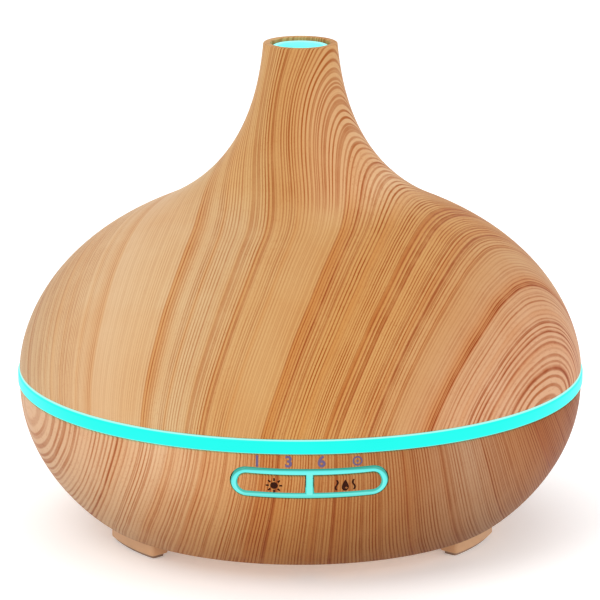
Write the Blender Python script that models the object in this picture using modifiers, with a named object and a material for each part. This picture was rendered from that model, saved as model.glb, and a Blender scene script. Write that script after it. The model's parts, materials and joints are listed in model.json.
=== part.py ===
"""Ultrasonic aroma diffuser, modelled as it comes apart on a bench.

A turned cover with a narrow neck lifts off a water tank. The tank hangs in a bowl-shaped base by its
flange, with a glowing ring between cover and base. Under the tank are the fan, the ultrasonic
transducer, the circuit boards and the leads. A bottom cover with three feet closes the base.

Sizes are in millimetres and the helpers turn them into metres. +Z is up, the two buttons face -Y, and
the origin is under the middle of the object, on the surface that it stands on.
"""

import math

import bmesh
import bpy
from mathutils import Matrix, Vector

MM = 0.001
GAP = 0.3  # between touching pieces
TURN_STEPS = 48  # facets round every large turned piece, so that nested ones stay parallel
SMALL_STEPS = 16  # facets round a small cylinder

# --- Driving dimensions -------------------------------------------------------------------------
HEIGHT = 145.6
BODY_RADIUS = 83.5
RING_RADIUS = 84.0
RING_BOTTOM, RING_TOP = 44.4, 48.3
WALL = 2.2
BASE_BOTTOM = 5.0
BASE_BOTTOM_RADIUS = 61.2
NECK_RADIUS = 10.9
SHOULDER = (43.6, 96.1)  # radius and height where the dome turns into the neck

TANK_RADIUS = 66.0
TANK_WALL = 2.0
TANK_FLOOR = 22.5  # underside of the tank's floor
TANK_RIM = 50.5
FLANGE_RADIUS, FLANGE_BOTTOM, FLANGE_TOP = 82.2, 46.5, 48.3
SPIGOT_RADIUS = 80.3

LINER_WALL = 1.5
CHIMNEY_RADIUS = 8.2
SKIRT_RADIUS, SKIRT_BOTTOM = 77.6, 49.0

FOOT_ANGLES = (60.0, 180.0, 300.0)  # from the front, turning towards +X
FOOT_INNER, FOOT_OUTER, FOOT_HALF_ANGLE = 53.2, 59.5, 12.0
FOOT_BOTTOM, PAD_INSET, PAD_TOP = 1.0, 1.0, 1.6
BASE_SCREW_ANGLES = (0.0, 120.0, 240.0)
BASE_SCREW_CIRCLE = 57.5

PANEL_HEIGHT, PANEL_RADIUS, PANEL_TILT = 35.4, 82.55, 12.4  # where the buttons sit on the bowl
BEZEL_WIDTH, BEZEL_HEIGHT, BEZEL_BORDER = 44.0, 8.9, 1.5
BUTTON_TRAVEL = 0.8
SWITCH_X = 10.6
POST_X = 22.0  # the bezel's screw posts
INDICATOR_X = (-14.1, -5.6, 3.6, 13.3)

FAN_Y, FAN_SIZE, FAN_BOTTOM, FAN_TOP = 32.0, 40.0, 9.8, 19.8
FAN_HOLE = 16.0  # from the fan's axis to its screw holes, along X and Y
TOWER_LENGTH, TOWER_WIDTH, TOWER_TOP, TOWER_WALL = 34.0, 20.0, 52.0, 1.6
TOWER_FLANGE = 2.0  # how far the tower's foot reaches out over the tank's floor

BOARD_BOTTOM, BOARD_TOP = 10.2, 11.8
BOARD_SCREWS = ((-43.0, -27.0), (-23.5, -31.0), (-43.0, 9.0), (-23.5, 11.2))
ON_BOARD = BOARD_TOP + GAP
LED_BOARD_BOTTOM, LED_BOARD_TOP = 38.0, 39.2
LED_GAP_ANGLE = 22.0  # half of the LED board's gap, behind the buttons
SOCKET_HEIGHT = 15.0
SOCKET_FACE = 64.0

COLOURS = {
    "wood": ((0.72, 0.47, 0.27), 0.5, 0.0),
    "light": ((0.02, 0.9, 0.85), 0.35, 0.0),
    "milky": ((0.85, 0.9, 0.9), 0.4, 0.0),
    "rubber": ((0.22, 0.18, 0.16), 0.85, 0.0),
    "steel": ((0.6, 0.6, 0.62), 0.3, 1.0),
    "brass": ((0.75, 0.6, 0.3), 0.3, 1.0),
    "aluminium": ((0.75, 0.76, 0.78), 0.4, 1.0),
    "board": ((0.03, 0.22, 0.09), 0.5, 0.0),
    "black": ((0.03, 0.03, 0.035), 0.5, 0.0),
    "white": ((0.85, 0.85, 0.82), 0.45, 0.0),
    "ceramic": ((0.9, 0.88, 0.8), 0.3, 0.0),
    "foam": ((0.12, 0.12, 0.13), 0.95, 0.0),
    "red": ((0.5, 0.04, 0.03), 0.5, 0.0),
}


# --- Outlines, as lists of (radius, height) or (x, y) -----------------------------------------------
def bezier(start, pull_out, pull_in, end, segments):
    """Points along one cubic curve, ends included."""
    points = []
    for i in range(segments + 1):
        t = i / segments
        weights = ((1 - t) ** 3, 3 * (1 - t) ** 2 * t, 3 * (1 - t) * t * t, t**3)
        corners = (start, pull_out, pull_in, end)
        points.append(tuple(sum(w * p[k] for w, p in zip(weights, corners)) for k in (0, 1)))
    return points


def bowl_outline(segments=9):
    """The base's outside, from its top edge down to its lower lip."""
    top = RING_BOTTOM - GAP
    return bezier(
        (BODY_RADIUS, top), (BODY_RADIUS, 20.5), (63.0, 5.5), (BASE_BOTTOM_RADIUS, BASE_BOTTOM), segments
    )


def cover_outline():
    """The cover's outside, from the mouth down the neck and over the dome to its lower edge."""
    neck = bezier((NECK_RADIUS, HEIGHT), (13.0, 121.2), (22.5, 105.2), SHOULDER, 8)
    dome = bezier(SHOULDER, (80.8, 80.1), (BODY_RADIUS, 52.9), (BODY_RADIUS, RING_TOP + GAP), 8)
    return neck + dome[1:]


def offset(points, distance):
    """The outline moved outwards by distance, or inwards where it is negative."""
    moved = []
    for i, (radius, height) in enumerate(points):
        before, after = points[max(i - 1, 0)], points[min(i + 1, len(points) - 1)]
        along = Vector((after[0] - before[0], after[1] - before[1])).normalized()
        moved.append((radius - along.y * distance, height + along.x * distance))
    return moved


def circle(radius, centre=(0.0, 0.0), steps=SMALL_STEPS):
    return [
        (
            centre[0] + radius * math.cos(2 * math.pi * i / steps),
            centre[1] + radius * math.sin(2 * math.pi * i / steps),
        )
        for i in range(steps)
    ]


def rounded_rectangle(low, high, radii, corner_steps=5):
    """A rectangle whose corner radii are given from the low left corner, anticlockwise."""
    (x0, y0), (x1, y1) = low, high
    corners = ((x0, y0, 1, 1), (x1, y0, -1, 1), (x1, y1, -1, -1), (x0, y1, 1, -1))
    points = []
    for i, ((x, y, sx, sy), radius) in enumerate(zip(corners, radii)):
        if radius == 0:
            points.append((x, y))
            continue
        for k in range(corner_steps + 1):
            angle = math.pi + math.pi / 2 * (i + k / corner_steps)
            points.append(
                (x + sx * radius + radius * math.cos(angle), y + sy * radius + radius * math.sin(angle))
            )
    return points


def stadium(width, height, centre=(0.0, 0.0)):
    """A slot shape with round ends, its length along X. The radius falls just short of meeting."""
    radius = height / 2 - 0.01
    low = (centre[0] - width / 2, centre[1] - height / 2)
    high = (centre[0] + width / 2, centre[1] + height / 2)
    return rounded_rectangle(low, high, [radius] * 4)


def ring_sector(inner, outer, from_angle, to_angle, steps):
    """A flat arc between two radii. Angles turn from the front, -Y, towards +X."""
    angles = [from_angle + (to_angle - from_angle) * i / steps for i in range(steps + 1)]
    return [polar(outer, a) for a in angles] + [polar(inner, a) for a in reversed(angles)]


def polar(radius, angle):
    """The (x, y) at this radius, at an angle from the front, -Y, towards +X."""
    return (radius * math.sin(math.radians(angle)), -radius * math.cos(math.radians(angle)))


# --- Making objects -------------------------------------------------------------------------------
def clear_scene():
    for obj in list(bpy.data.objects):
        bpy.data.objects.remove(obj)


def collection(name, hidden=False):
    made = bpy.data.collections.new(name)
    made.hide_render = hidden
    bpy.context.scene.collection.children.link(made)
    return made


def material(name):
    found = bpy.data.materials.get(name)
    if found:
        return found
    colour, roughness, metallic = COLOURS[name]
    found = bpy.data.materials.new(name)
    found.use_nodes = True
    shader = found.node_tree.nodes["Principled BSDF"]
    shader.inputs["Base Color"].default_value = (*colour, 1.0)
    shader.inputs["Roughness"].default_value = roughness
    shader.inputs["Metallic"].default_value = metallic
    found.diffuse_color = (*colour, 1.0)
    return found


class Maker:
    """Puts each new object in the object's own collection, or in the one for cutters."""

    def __init__(self):
        self.parts = collection("aroma_diffuser")
        self.tools = collection("cutters", hidden=True)

    def place(self, name, mesh, paint=None):
        obj = bpy.data.objects.new(name, mesh)
        if paint is None:
            self.tools.objects.link(obj)
            obj.hide_render = True
            obj.display_type = "WIRE"
        else:
            self.parts.objects.link(obj)
            obj.data.materials.append(material(paint))
        return obj

    def turned(self, name, outline, paint=None, steps=TURN_STEPS, wall=0.0):
        """Turns an outline about Z. With a wall it is an open skin, thickened inwards; else it closes."""
        if not wall and signed_area(outline) > 0:
            outline = outline[::-1]
        mesh = bpy.data.meshes.new(name)
        points = [(radius * MM, 0.0, height * MM) for radius, height in outline]
        edges = [(i, i + 1) for i in range(len(points) - 1)]
        if not wall and not (outline[0][0] == 0 and outline[-1][0] == 0):
            edges.append((len(points) - 1, 0))
        mesh.from_pydata(points, edges, [])
        obj = self.place(name, mesh, paint)
        screw = obj.modifiers.new("turn", "SCREW")
        screw.steps = screw.render_steps = steps
        screw.use_merge_vertices = True
        screw.merge_threshold = 0.00001
        if wall:
            skin = obj.modifiers.new("wall", "SOLIDIFY")
            skin.thickness = wall * MM
            skin.offset = -1.0
            skin.use_even_offset = True
        return obj

    def plate(self, name, outline, bottom, top, paint=None, holes=()):
        """A flat plate of an outline with holes, between two heights, as a filled curve made a mesh."""
        curve = bpy.data.curves.new(name, "CURVE")
        curve.dimensions = "2D"
        curve.fill_mode = "BOTH"
        curve.extrude = (top - bottom) / 2 * MM
        for loop in (outline, *holes):
            spline = curve.splines.new("POLY")
            spline.points.add(len(loop) - 1)
            for point, (x, y) in zip(spline.points, loop):
                point.co = (x * MM, y * MM, 0.0, 1.0)
            spline.use_cyclic_u = True
        flat = bpy.data.objects.new(name + "_curve", curve)
        bpy.context.scene.collection.objects.link(flat)
        flat.location.z = (top + bottom) / 2 * MM
        obj = self.place(name, mesh_of([flat], name), paint)
        bpy.data.objects.remove(flat)
        return obj

    def box(self, name, low, high, paint=None):
        bpy.ops.mesh.primitive_cube_add(size=1.0)
        cube = bpy.context.object
        cube.location = [(a + b) / 2 * MM for a, b in zip(low, high)]
        cube.scale = [(b - a) * MM for a, b in zip(low, high)]
        obj = self.place(name, mesh_of([cube], name), paint)
        bpy.data.objects.remove(cube)
        return obj

    def rod(self, name, radius, start, end, paint=None, steps=SMALL_STEPS, end_radius=None):
        """A cylinder from start to end, or a cone where end_radius differs."""
        axis = Vector(end) - Vector(start)
        bpy.ops.mesh.primitive_cone_add(
            vertices=steps,
            radius1=radius * MM,
            radius2=(radius if end_radius is None else end_radius) * MM,
            depth=axis.length * MM,
        )
        cone = bpy.context.object
        cone.rotation_mode = "QUATERNION"
        cone.rotation_quaternion = Vector((0, 0, 1)).rotation_difference(axis)
        cone.location = (Vector(start) + Vector(end)) / 2 * MM
        obj = self.place(name, mesh_of([cone], name), paint)
        bpy.data.objects.remove(cone)
        return obj

    def lead(self, name, route, radius, paint):
        """A cable along a smooth curve through its route's points, with a filled cap at each end."""
        curve = bpy.data.curves.new(name, "CURVE")
        curve.dimensions = "3D"
        curve.bevel_depth = radius * MM
        curve.bevel_resolution = 2
        curve.use_fill_caps = True
        points = smooth_route(route, spacing=3 * 2 * radius)
        spline = curve.splines.new("POLY")
        spline.points.add(len(points) - 1)
        for point, place in zip(spline.points, points):
            point.co = (*(place * MM), 1.0)
        return self.place(name, curve, paint)


def mesh_of(objects, name):
    """One mesh of these objects as they are shown, in world space, with its seams welded."""
    bpy.context.view_layer.update()
    graph = bpy.context.evaluated_depsgraph_get()
    joined = bmesh.new()
    for obj in objects:
        single = bpy.data.meshes.new_from_object(obj.evaluated_get(graph))
        single.transform(obj.matrix_world)
        joined.from_mesh(single)
        bpy.data.meshes.remove(single)
    bmesh.ops.remove_doubles(joined, verts=joined.verts, dist=0.000001)
    mesh = bpy.data.meshes.new(name)
    joined.to_mesh(mesh)
    joined.free()
    return mesh


def smooth_route(route, spacing):
    """Points about spacing apart on a Catmull-Rom curve through the route's points."""
    stops = [Vector(p) for p in route]
    stops = [2 * stops[0] - stops[1], *stops, 2 * stops[-1] - stops[-2]]
    points = [stops[1]]
    for a, b, c, d in zip(stops, stops[1:], stops[2:], stops[3:]):
        pieces = max(1, round((c - b).length / spacing))
        for i in range(1, pieces + 1):
            t = i / pieces
            points.append(
                0.5 * (2 * b + (c - a) * t + (2 * a - 5 * b + 4 * c - d) * t * t
                       + (3 * b - a - 3 * c + d) * t**3)
            )
    return points


def signed_area(outline):
    following = outline[1:] + outline[:1]
    return sum(a[0] * b[1] - b[0] * a[1] for a, b in zip(outline, following)) / 2


def combine(obj, other, operation):
    change = obj.modifiers.new(operation.lower(), "BOOLEAN")
    change.operation = operation
    change.solver = "EXACT"
    change.object = other


def cut(obj, *tools):
    for tool in tools:
        combine(obj, tool, "DIFFERENCE")


def join(obj, *tools):
    for tool in tools:
        combine(obj, tool, "UNION")


def tilt_to_panel(*objects):
    """Stands objects, modelled flat about the origin, on the bowl where the buttons are.

    Their X stays across, their Y runs up the bowl and their Z points out of it.
    """
    anchor = bpy.data.objects.get("panel_frame")
    if anchor is None:
        anchor = bpy.data.objects.new("panel_frame", None)
        bpy.context.scene.collection.objects.link(anchor)
        anchor.location = (0.0, -PANEL_RADIUS * MM, PANEL_HEIGHT * MM)
        anchor.rotation_euler = (math.radians(90 + PANEL_TILT), 0.0, 0.0)
        bpy.context.view_layer.update()
    for obj in objects:
        obj.parent = anchor


def add_screw(make, name, top, shank_radius, head_radius, head_height, length, down=True):
    """A pan-head screw. top is the middle of the seat under its head."""
    x, y, z = top
    way = -1.0 if down else 1.0
    outline = [
        (0.0, -head_height),
        (head_radius * 0.85, -head_height),
        (head_radius, 0.0),
        (shank_radius, 0.0),
        (shank_radius, length),
        (0.0, length),
    ]
    obj = make.turned(name, [(r, way * h) for r, h in outline], "steel", steps=8)
    obj.location = (x * MM, y * MM, z * MM)
    return obj


# --- Outer pieces ---------------------------------------------------------------------------------
def make_cover(make):
    make.turned("top_cover", cover_outline(), "wood", wall=WALL)


def liner_outline():
    """The translucent liner's outside: chimney, funnel, dome and skirt, from the top down."""
    funnel = bezier((CHIMNEY_RADIUS, 116.0), (CHIMNEY_RADIUS, 100.0), (20.0, 91.0), (42.0, 83.0), 6)
    dome = bezier((42.0, 83.0), (62.0, 75.6), (SKIRT_RADIUS, 66.0), (SKIRT_RADIUS, 53.0), 6)
    return [(CHIMNEY_RADIUS, HEIGHT - 1.0), *funnel, *dome[1:], (SKIRT_RADIUS, SKIRT_BOTTOM)]


def make_inner_cover(make):
    """The liner guides the mist up the neck, and its skirt drops the water back into the tank."""
    liner = make.turned("inner_cover", liner_outline(), "milky", wall=LINER_WALL)
    for i in range(6):
        tab = make.box(f"liner_tab_{i}", (SKIRT_RADIUS - 1.0, -4.0, 51.4), (80.2, 4.0, 52.8))
        tab.rotation_euler.z = math.radians(60 * i + 30)
        join(liner, tab)


def make_light_ring(make):
    outline = [
        (83.6, RING_TOP),
        (RING_RADIUS, RING_TOP - 0.6),
        (RING_RADIUS, RING_BOTTOM + 0.6),
        (83.6, RING_BOTTOM),
        (80.7, RING_BOTTOM),
        (80.7, FLANGE_BOTTOM - GAP),
        (FLANGE_RADIUS + GAP, FLANGE_BOTTOM - GAP),
        (FLANGE_RADIUS + GAP, RING_TOP),
    ]
    make.turned("light_ring", outline, "light")


def make_base_shell(make):
    """The bowl, with an inward flange at the bottom and a round recess at the back for the socket."""
    flange_low, flange_high, flange_inner = 7.3, 9.3, 54.0
    outer = bowl_outline()
    inner = [p for p in offset(outer, -WALL) if p[1] > flange_high + 0.5]
    lip = BASE_BOTTOM_RADIUS - 0.6
    outline = outer + [
        (lip, BASE_BOTTOM),
        (lip, flange_low),
        (flange_inner, flange_low),
        (flange_inner, flange_high),
        (64.0, flange_high),
        *reversed(inner),
    ]
    shell = make.turned("base_shell", outline, "wood")

    window = make.plate(
        "panel_window", stadium(BEZEL_WIDTH + 2 * GAP, BEZEL_HEIGHT + 2 * GAP), -12.0, 8.0
    )
    tilt_to_panel(window)
    cut(shell, window)

    def along_y(name, radius, start, end):
        return make.rod(name, radius, (0, start, SOCKET_HEIGHT), (0, end, SOCKET_HEIGHT), steps=20)

    boss = along_y("socket_boss", 7.4, SOCKET_FACE - 1.4, 82.0)
    bowl_skin = offset(bowl_outline(), -0.8)
    combine(boss, make.turned("bowl_solid", [(0.0, bowl_skin[0][1]), *bowl_skin, (0.0, bowl_skin[-1][1])]),
            "INTERSECT")
    join(shell, boss)
    cut(
        shell,
        along_y("socket_recess", 6.2, SOCKET_FACE, 95.0),
        along_y("socket_hole", 4.4, 58.0, 95.0),
    )
    for angle in BASE_SCREW_ANGLES:
        hole = circle(1.7, polar(BASE_SCREW_CIRCLE, angle), 10)
        cut(shell, make.plate(f"flange_hole_{angle:.0f}", hole, 6.0, 11.0))


def foot_outline(angle, inset):
    half = FOOT_HALF_ANGLE - math.degrees(inset / FOOT_OUTER)
    return ring_sector(FOOT_INNER + inset, FOOT_OUTER - inset, angle - half, angle + half, 6)


def make_bottom_cover(make):
    """The plate that closes the base, with its feet, the fan's grille, screw posts and seats."""
    thickness = 2.0
    radius = BASE_BOTTOM_RADIUS - 1.0
    inside = BASE_BOTTOM + thickness
    plate = make.turned(
        "bottom_cover", [(0.0, BASE_BOTTOM), (radius, BASE_BOTTOM), (radius, inside), (0.0, inside)], "wood"
    )
    for i, angle in enumerate(FOOT_ANGLES, 1):
        join(plate, make.plate(f"foot_{i}", foot_outline(angle, 0.0), FOOT_BOTTOM, BASE_BOTTOM + 1.0))
        pocket = foot_outline(angle, PAD_INSET - GAP)
        cut(plate, make.plate(f"foot_pocket_{i}", pocket, FOOT_BOTTOM - 1.0, PAD_TOP + GAP))
        make.plate(f"foot_pad_{i}", foot_outline(angle, PAD_INSET), 0.0, PAD_TOP, "rubber")

    for k in range(-3, 4):
        y = FAN_Y + 4.4 * k
        half = math.sqrt(17.0**2 - (4.4 * k) ** 2)
        cut(plate, make.box(f"grille_slot_{k + 3}", (-half, y - 1.2, 3.0), (half, y + 1.2, 9.0)))

    posts = [(x, y, FAN_BOTTOM - GAP, 2.3) for x, y in fan_corners()]
    posts += [(x, y, BOARD_BOTTOM - GAP, 2.2) for x, y in BOARD_SCREWS]
    for i, (x, y, top, radius) in enumerate(posts):
        join(plate, make.rod(f"post_{i}", radius, (x, y, inside - 1.0), (x, y, top), steps=10))
        cut(plate, make.rod(f"post_hole_{i}", 1.5, (x, y, inside + 0.2), (x, y, top + 1.0), steps=8))

    for angle in BASE_SCREW_ANGLES:
        x, y = polar(BASE_SCREW_CIRCLE, angle)
        seat = make.rod(
            f"screw_seat_{angle:.0f}", 3.2, (x, y, BASE_BOTTOM - 0.1), (x, y, inside + 0.1),
            steps=12, end_radius=1.7,
        )
        cut(plate, seat)


def make_bottom_screws(make):
    """Countersunk screws that pull the base together, up into the tank's bosses."""
    outline = [(0.0, 5.1), (2.7, 5.1), (2.7, 5.3), (1.4, 6.7), (1.4, 18.0), (0.0, 19.0)]
    for i, angle in enumerate(BASE_SCREW_ANGLES, 1):
        one = make.turned(f"bottom_screw_{i}", outline, "steel", steps=10)
        x, y = polar(BASE_SCREW_CIRCLE, angle)
        one.location = (x * MM, y * MM, 0.0)


# --- Tank -----------------------------------------------------------------------------------------
def tank_outline():
    """Flange and spigot at the rim, a flared shoulder, a straight wall and a floor with a hole."""
    floor_top = TANK_FLOOR + TANK_WALL
    inner_radius = TANK_RADIUS - TANK_WALL
    flare_outside = bezier((SPIGOT_RADIUS, FLANGE_BOTTOM), (70.0, FLANGE_BOTTOM), (TANK_RADIUS, 43.0),
                           (TANK_RADIUS, 38.0), 5)
    flare_inside = bezier((inner_radius, 38.5), (inner_radius, 44.5), (69.0, FLANGE_TOP),
                          (SPIGOT_RADIUS - TANK_WALL, FLANGE_TOP), 5)
    corner_outside = bezier((TANK_RADIUS, 27.5), (TANK_RADIUS, 24.5), (64.0, TANK_FLOOR),
                            (61.0, TANK_FLOOR), 3)
    corner_inside = bezier((59.5, floor_top), (62.2, floor_top), (inner_radius, 26.4),
                           (inner_radius, 29.0), 3)
    well_radius = 8.0
    return [
        (SPIGOT_RADIUS - TANK_WALL, TANK_RIM),
        (SPIGOT_RADIUS, TANK_RIM),
        (SPIGOT_RADIUS, FLANGE_TOP),
        (FLANGE_RADIUS, FLANGE_TOP),
        (FLANGE_RADIUS, FLANGE_BOTTOM),
        *flare_outside,
        *corner_outside,
        (well_radius, TANK_FLOOR),
        (well_radius, floor_top),
        *corner_inside,
        *flare_inside,
    ]


def tower_slot(growth):
    """The air tower's outline, grown by this much all round."""
    return stadium(TOWER_LENGTH + 2 * growth, TOWER_WIDTH + 2 * growth, (0.0, FAN_Y))


def make_water_tank(make):
    """A round tank with a slot in its floor for the air tower, and screw bosses under it."""
    tank = make.turned("water_tank", tank_outline(), "milky")
    cut(tank, make.plate("tower_hole", tower_slot(GAP), TANK_FLOOR - 3.0, TANK_FLOOR + 6.0))

    bosses = [(*polar(BASE_SCREW_CIRCLE, a), 9.6, TANK_FLOOR + 1.0, 3.5, 1.7) for a in BASE_SCREW_ANGLES]
    bosses += [(x, 0.0, 18.8, TANK_FLOOR + 1.0, 2.6, 1.3) for x in (-14.5, 14.5)]
    bosses += [(*polar(74.0, a), LED_BOARD_TOP + GAP, 47.0, 2.4, 1.3) for a in LED_SCREW_ANGLES]
    for i, (x, y, bottom, top, radius, hole) in enumerate(bosses):
        join(tank, make.rod(f"tank_boss_{i}", radius, (x, y, bottom), (x, y, top), steps=10))
        cut(tank, make.rod(f"boss_hole_{i}", hole, (x, y, bottom - 1.0), (x, y, top - 2.5), steps=8))


def make_air_tower(make):
    """The duct that carries the fan's air up past the water. Its foot is welded to the tank's floor."""
    tower = make.plate("air_tower", tower_slot(0.0), TANK_FLOOR, TOWER_TOP, "milky")
    seat = TANK_FLOOR + TANK_WALL + GAP
    join(tower, make.plate("tower_foot", tower_slot(TOWER_FLANGE), seat, seat + 1.4))
    cut(tower, make.plate("tower_bore", tower_slot(-TOWER_WALL), TANK_FLOOR - 3.0, TOWER_TOP + 3.0))


def make_air_outlet_cap(make):
    """A hood that keeps dripping water out of the air tower. Its legs plug into the tower."""
    cap = make.plate("air_outlet_cap", stadium(38.0, 24.0, (0.0, FAN_Y)), 57.4, 59.0, "milky")
    for side in (-1, 1):
        def leg(name, near, far, half_width, bottom, top):
            xs = sorted((side * near, side * far))
            return make.box(name, (xs[0], FAN_Y - half_width, bottom), (xs[1], FAN_Y + half_width, top))

        join(cap, leg(f"cap_leg_{side}", 11.7, 13.5, 4.0, 46.0, 58.2))
        join(cap, leg(f"cap_stop_{side}", 12.6, 16.6, 3.0, TOWER_TOP + GAP, TOWER_TOP + 1.5))


# --- Transducer -----------------------------------------------------------------------------------
def make_transducer(make):
    gasket = [
        (8.0, 22.2), (10.6, 22.2), (10.6, 18.8), (8.0, 18.8),
        (8.0, 19.6), (9.9, 19.6), (9.9, 21.4), (8.0, 21.4),
    ]
    make.turned("transducer_gasket", gasket, "rubber", steps=24)
    make.turned("piezo_disc", [(0.0, 19.9), (9.5, 19.9), (9.5, 21.1), (0.0, 21.1)], "ceramic", steps=24)
    holes = [circle(6.0), circle(1.3, (-14.5, 0.0), 8), circle(1.3, (14.5, 0.0), 8)]
    make.plate("transducer_clamp", stadium(36.0, 20.0), 17.0, 18.5, "steel", holes)
    for i, x in enumerate((-14.5, 14.5), 1):
        add_screw(make, f"transducer_screw_{i}", (x, 0.0, 16.7), 1.0, 2.1, 1.4, 4.0, down=False)


# --- Fan ------------------------------------------------------------------------------------------
def fan_corners():
    return [(x, FAN_Y + y) for x in (-FAN_HOLE, FAN_HOLE) for y in (-FAN_HOLE, FAN_HOLE)]


def make_fan_frame(make):
    half = FAN_SIZE / 2
    outline = rounded_rectangle((-half, FAN_Y - half), (half, FAN_Y + half), [3.0] * 4, 3)
    holes = [circle(18.6, (0.0, FAN_Y), 32)] + [circle(1.7, corner, 8) for corner in fan_corners()]
    frame = make.plate("fan_frame", outline, FAN_BOTTOM, FAN_TOP, "black", holes)
    join(frame, make.rod("fan_motor_plate", 8.6, (0, FAN_Y, 10.0), (0, FAN_Y, 11.2), steps=20))
    for i in range(3):
        strut = make.box(f"fan_strut_{i}", (7.0, -1.2, 10.1), (19.2, 1.2, 11.1))
        strut.rotation_euler.z = math.radians(120 * i + 30)
        strut.location.y += FAN_Y * MM
        join(frame, strut)


def make_fan_rotor(make):
    blades, pitch = 7, 35.0
    hub = make.turned(
        "fan_rotor", [(0.0, 11.6), (8.4, 11.6), (8.4, 18.0), (7.6, 18.9), (0.0, 18.9)], "black", steps=20
    )
    hub.location.y = FAN_Y * MM
    for i in range(blades):
        blade = make.box(f"blade_{i}", (7.0, -4.4, -0.5), (17.8, 4.4, 0.5))
        turn = Matrix.Rotation(2 * math.pi * i / blades, 4, "Z")
        lean = Matrix.Rotation(math.radians(pitch), 4, "X")
        blade.matrix_world = Matrix.Translation((0, FAN_Y * MM, 15.2 * MM)) @ turn @ lean
        join(hub, blade)


def make_fan_fixings(make):
    seal = [circle(17.0, (0.0, FAN_Y), 24)]
    make.plate(
        "fan_gasket", circle(19.6, (0.0, FAN_Y), 24), FAN_TOP + GAP, TANK_FLOOR - GAP, "foam", seal
    )
    for i, (x, y) in enumerate((fan_corners()[0], fan_corners()[3]), 1):
        add_screw(make, f"fan_screw_{i}", (x, y, FAN_TOP + GAP), 1.1, 2.4, 1.6, 11.5)


# --- Light board under the ring ----------------------------------------------------------------------
LED_SCREW_ANGLES = (60.0, 180.0, 300.0)
LED_ANGLES = (30.0, 80.0, 105.0, 130.0, 155.0, 205.0, 230.0, 255.0, 280.0, 330.0)


def make_led_board(make):
    outline = ring_sector(69.5, 79.0, LED_GAP_ANGLE, 360.0 - LED_GAP_ANGLE, 44)
    holes = [circle(1.3, polar(74.0, angle), 8) for angle in LED_SCREW_ANGLES]
    board = make.plate("led_board", outline, LED_BOARD_BOTTOM, LED_BOARD_TOP, "white", holes)
    for angle in LED_ANGLES:
        chip = make.box(f"led_{angle:.0f}", (-2.5, -2.5, LED_BOARD_TOP - 0.5), (2.5, 2.5, 41.0))
        x, y = polar(75.0, angle)
        chip.location = (x * MM, y * MM, 0.0)
        chip.rotation_euler.z = math.radians(angle)
        join(board, chip)
    for i, angle in enumerate(LED_SCREW_ANGLES, 1):
        x, y = polar(74.0, angle)
        seat = (x, y, LED_BOARD_BOTTOM - GAP)
        add_screw(make, f"led_board_screw_{i}", seat, 1.0, 2.1, 1.4, 5.5, down=False)


# --- Buttons --------------------------------------------------------------------------------------
def bowl_slice(make, name, outside, inside, paint=None):
    """A layer of the bowl between two distances from its surface, to be trimmed to a button."""
    outline = bowl_outline(10)
    layer = offset(outline, outside) + list(reversed(offset(outline, inside)))
    return make.turned(name, [p for p in layer if p[1] > 18.0], paint, steps=96)


def trimmed(make, name, outside, inside, outline, paint=None):
    piece = bowl_slice(make, name, outside, inside, paint)
    trim = make.plate(name + "_trim", outline, -16.0, 6.0)
    tilt_to_panel(trim)
    combine(piece, trim, "INTERSECT")
    return piece


def button_outline(side, clearance):
    """The outline of the left (-1) or right (+1) half of the slot shape, less a clearance."""
    divider = 1.8
    far = BEZEL_WIDTH / 2 - BEZEL_BORDER - clearance
    near = divider / 2 + clearance
    half_height = BEZEL_HEIGHT / 2 - BEZEL_BORDER - clearance
    end_radius = half_height - 0.01
    if side < 0:
        radii = [end_radius, 0.4, 0.4, end_radius]
        return rounded_rectangle((-far, -half_height), (-near, half_height), radii)
    radii = [0.4, end_radius, end_radius, 0.4]
    return rounded_rectangle((near, -half_height), (far, half_height), radii)


def make_button_bezel(make):
    """The glowing frame round both buttons, with a flange behind the bowl and two screw posts."""
    bezel = trimmed(make, "button_bezel", 0.3, -3.7, stadium(BEZEL_WIDTH, BEZEL_HEIGHT), "light")
    flange = trimmed(
        make, "bezel_flange", -WALL - GAP, -3.7, stadium(BEZEL_WIDTH + 4.8, BEZEL_HEIGHT + 1.6)
    )
    join(bezel, flange)
    for side in (-1, 1):
        x = side * POST_X
        post = make.rod(f"bezel_post_{side}", 1.9, (x, 0, -10.7), (x, 0, -6.0), steps=10)
        pilot = make.rod(f"bezel_pilot_{side}", 1.1, (x, 0, -11.7), (x, 0, -7.5), steps=8)
        hole = make.plate(f"button_hole_{side}", button_outline(side, 0.0), -9.9, 6.0)
        tilt_to_panel(post, pilot, hole)
        join(bezel, post)
        cut(bezel, pilot, hole)


def make_button(make, name, side):
    """A cap that follows the bowl, with a flange behind the bezel and a stem onto its switch."""
    cap = trimmed(make, name, 0.6, -5.2, button_outline(side, GAP), "wood")
    edge = BEZEL_HEIGHT / 2 - BEZEL_BORDER + 0.6
    xs = sorted((side * 3.0, side * 17.0))
    catch = rounded_rectangle((xs[0], -edge), (xs[1], edge), [0.5] * 4, 2)
    join(cap, trimmed(make, name + "_flange", -4.0, -5.2, catch))
    stem = make.rod(name + "_stem", 1.5, (side * SWITCH_X, 0, -6.2), (side * SWITCH_X, 0, -4.2), steps=12)
    tilt_to_panel(stem)
    join(cap, stem)


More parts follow.
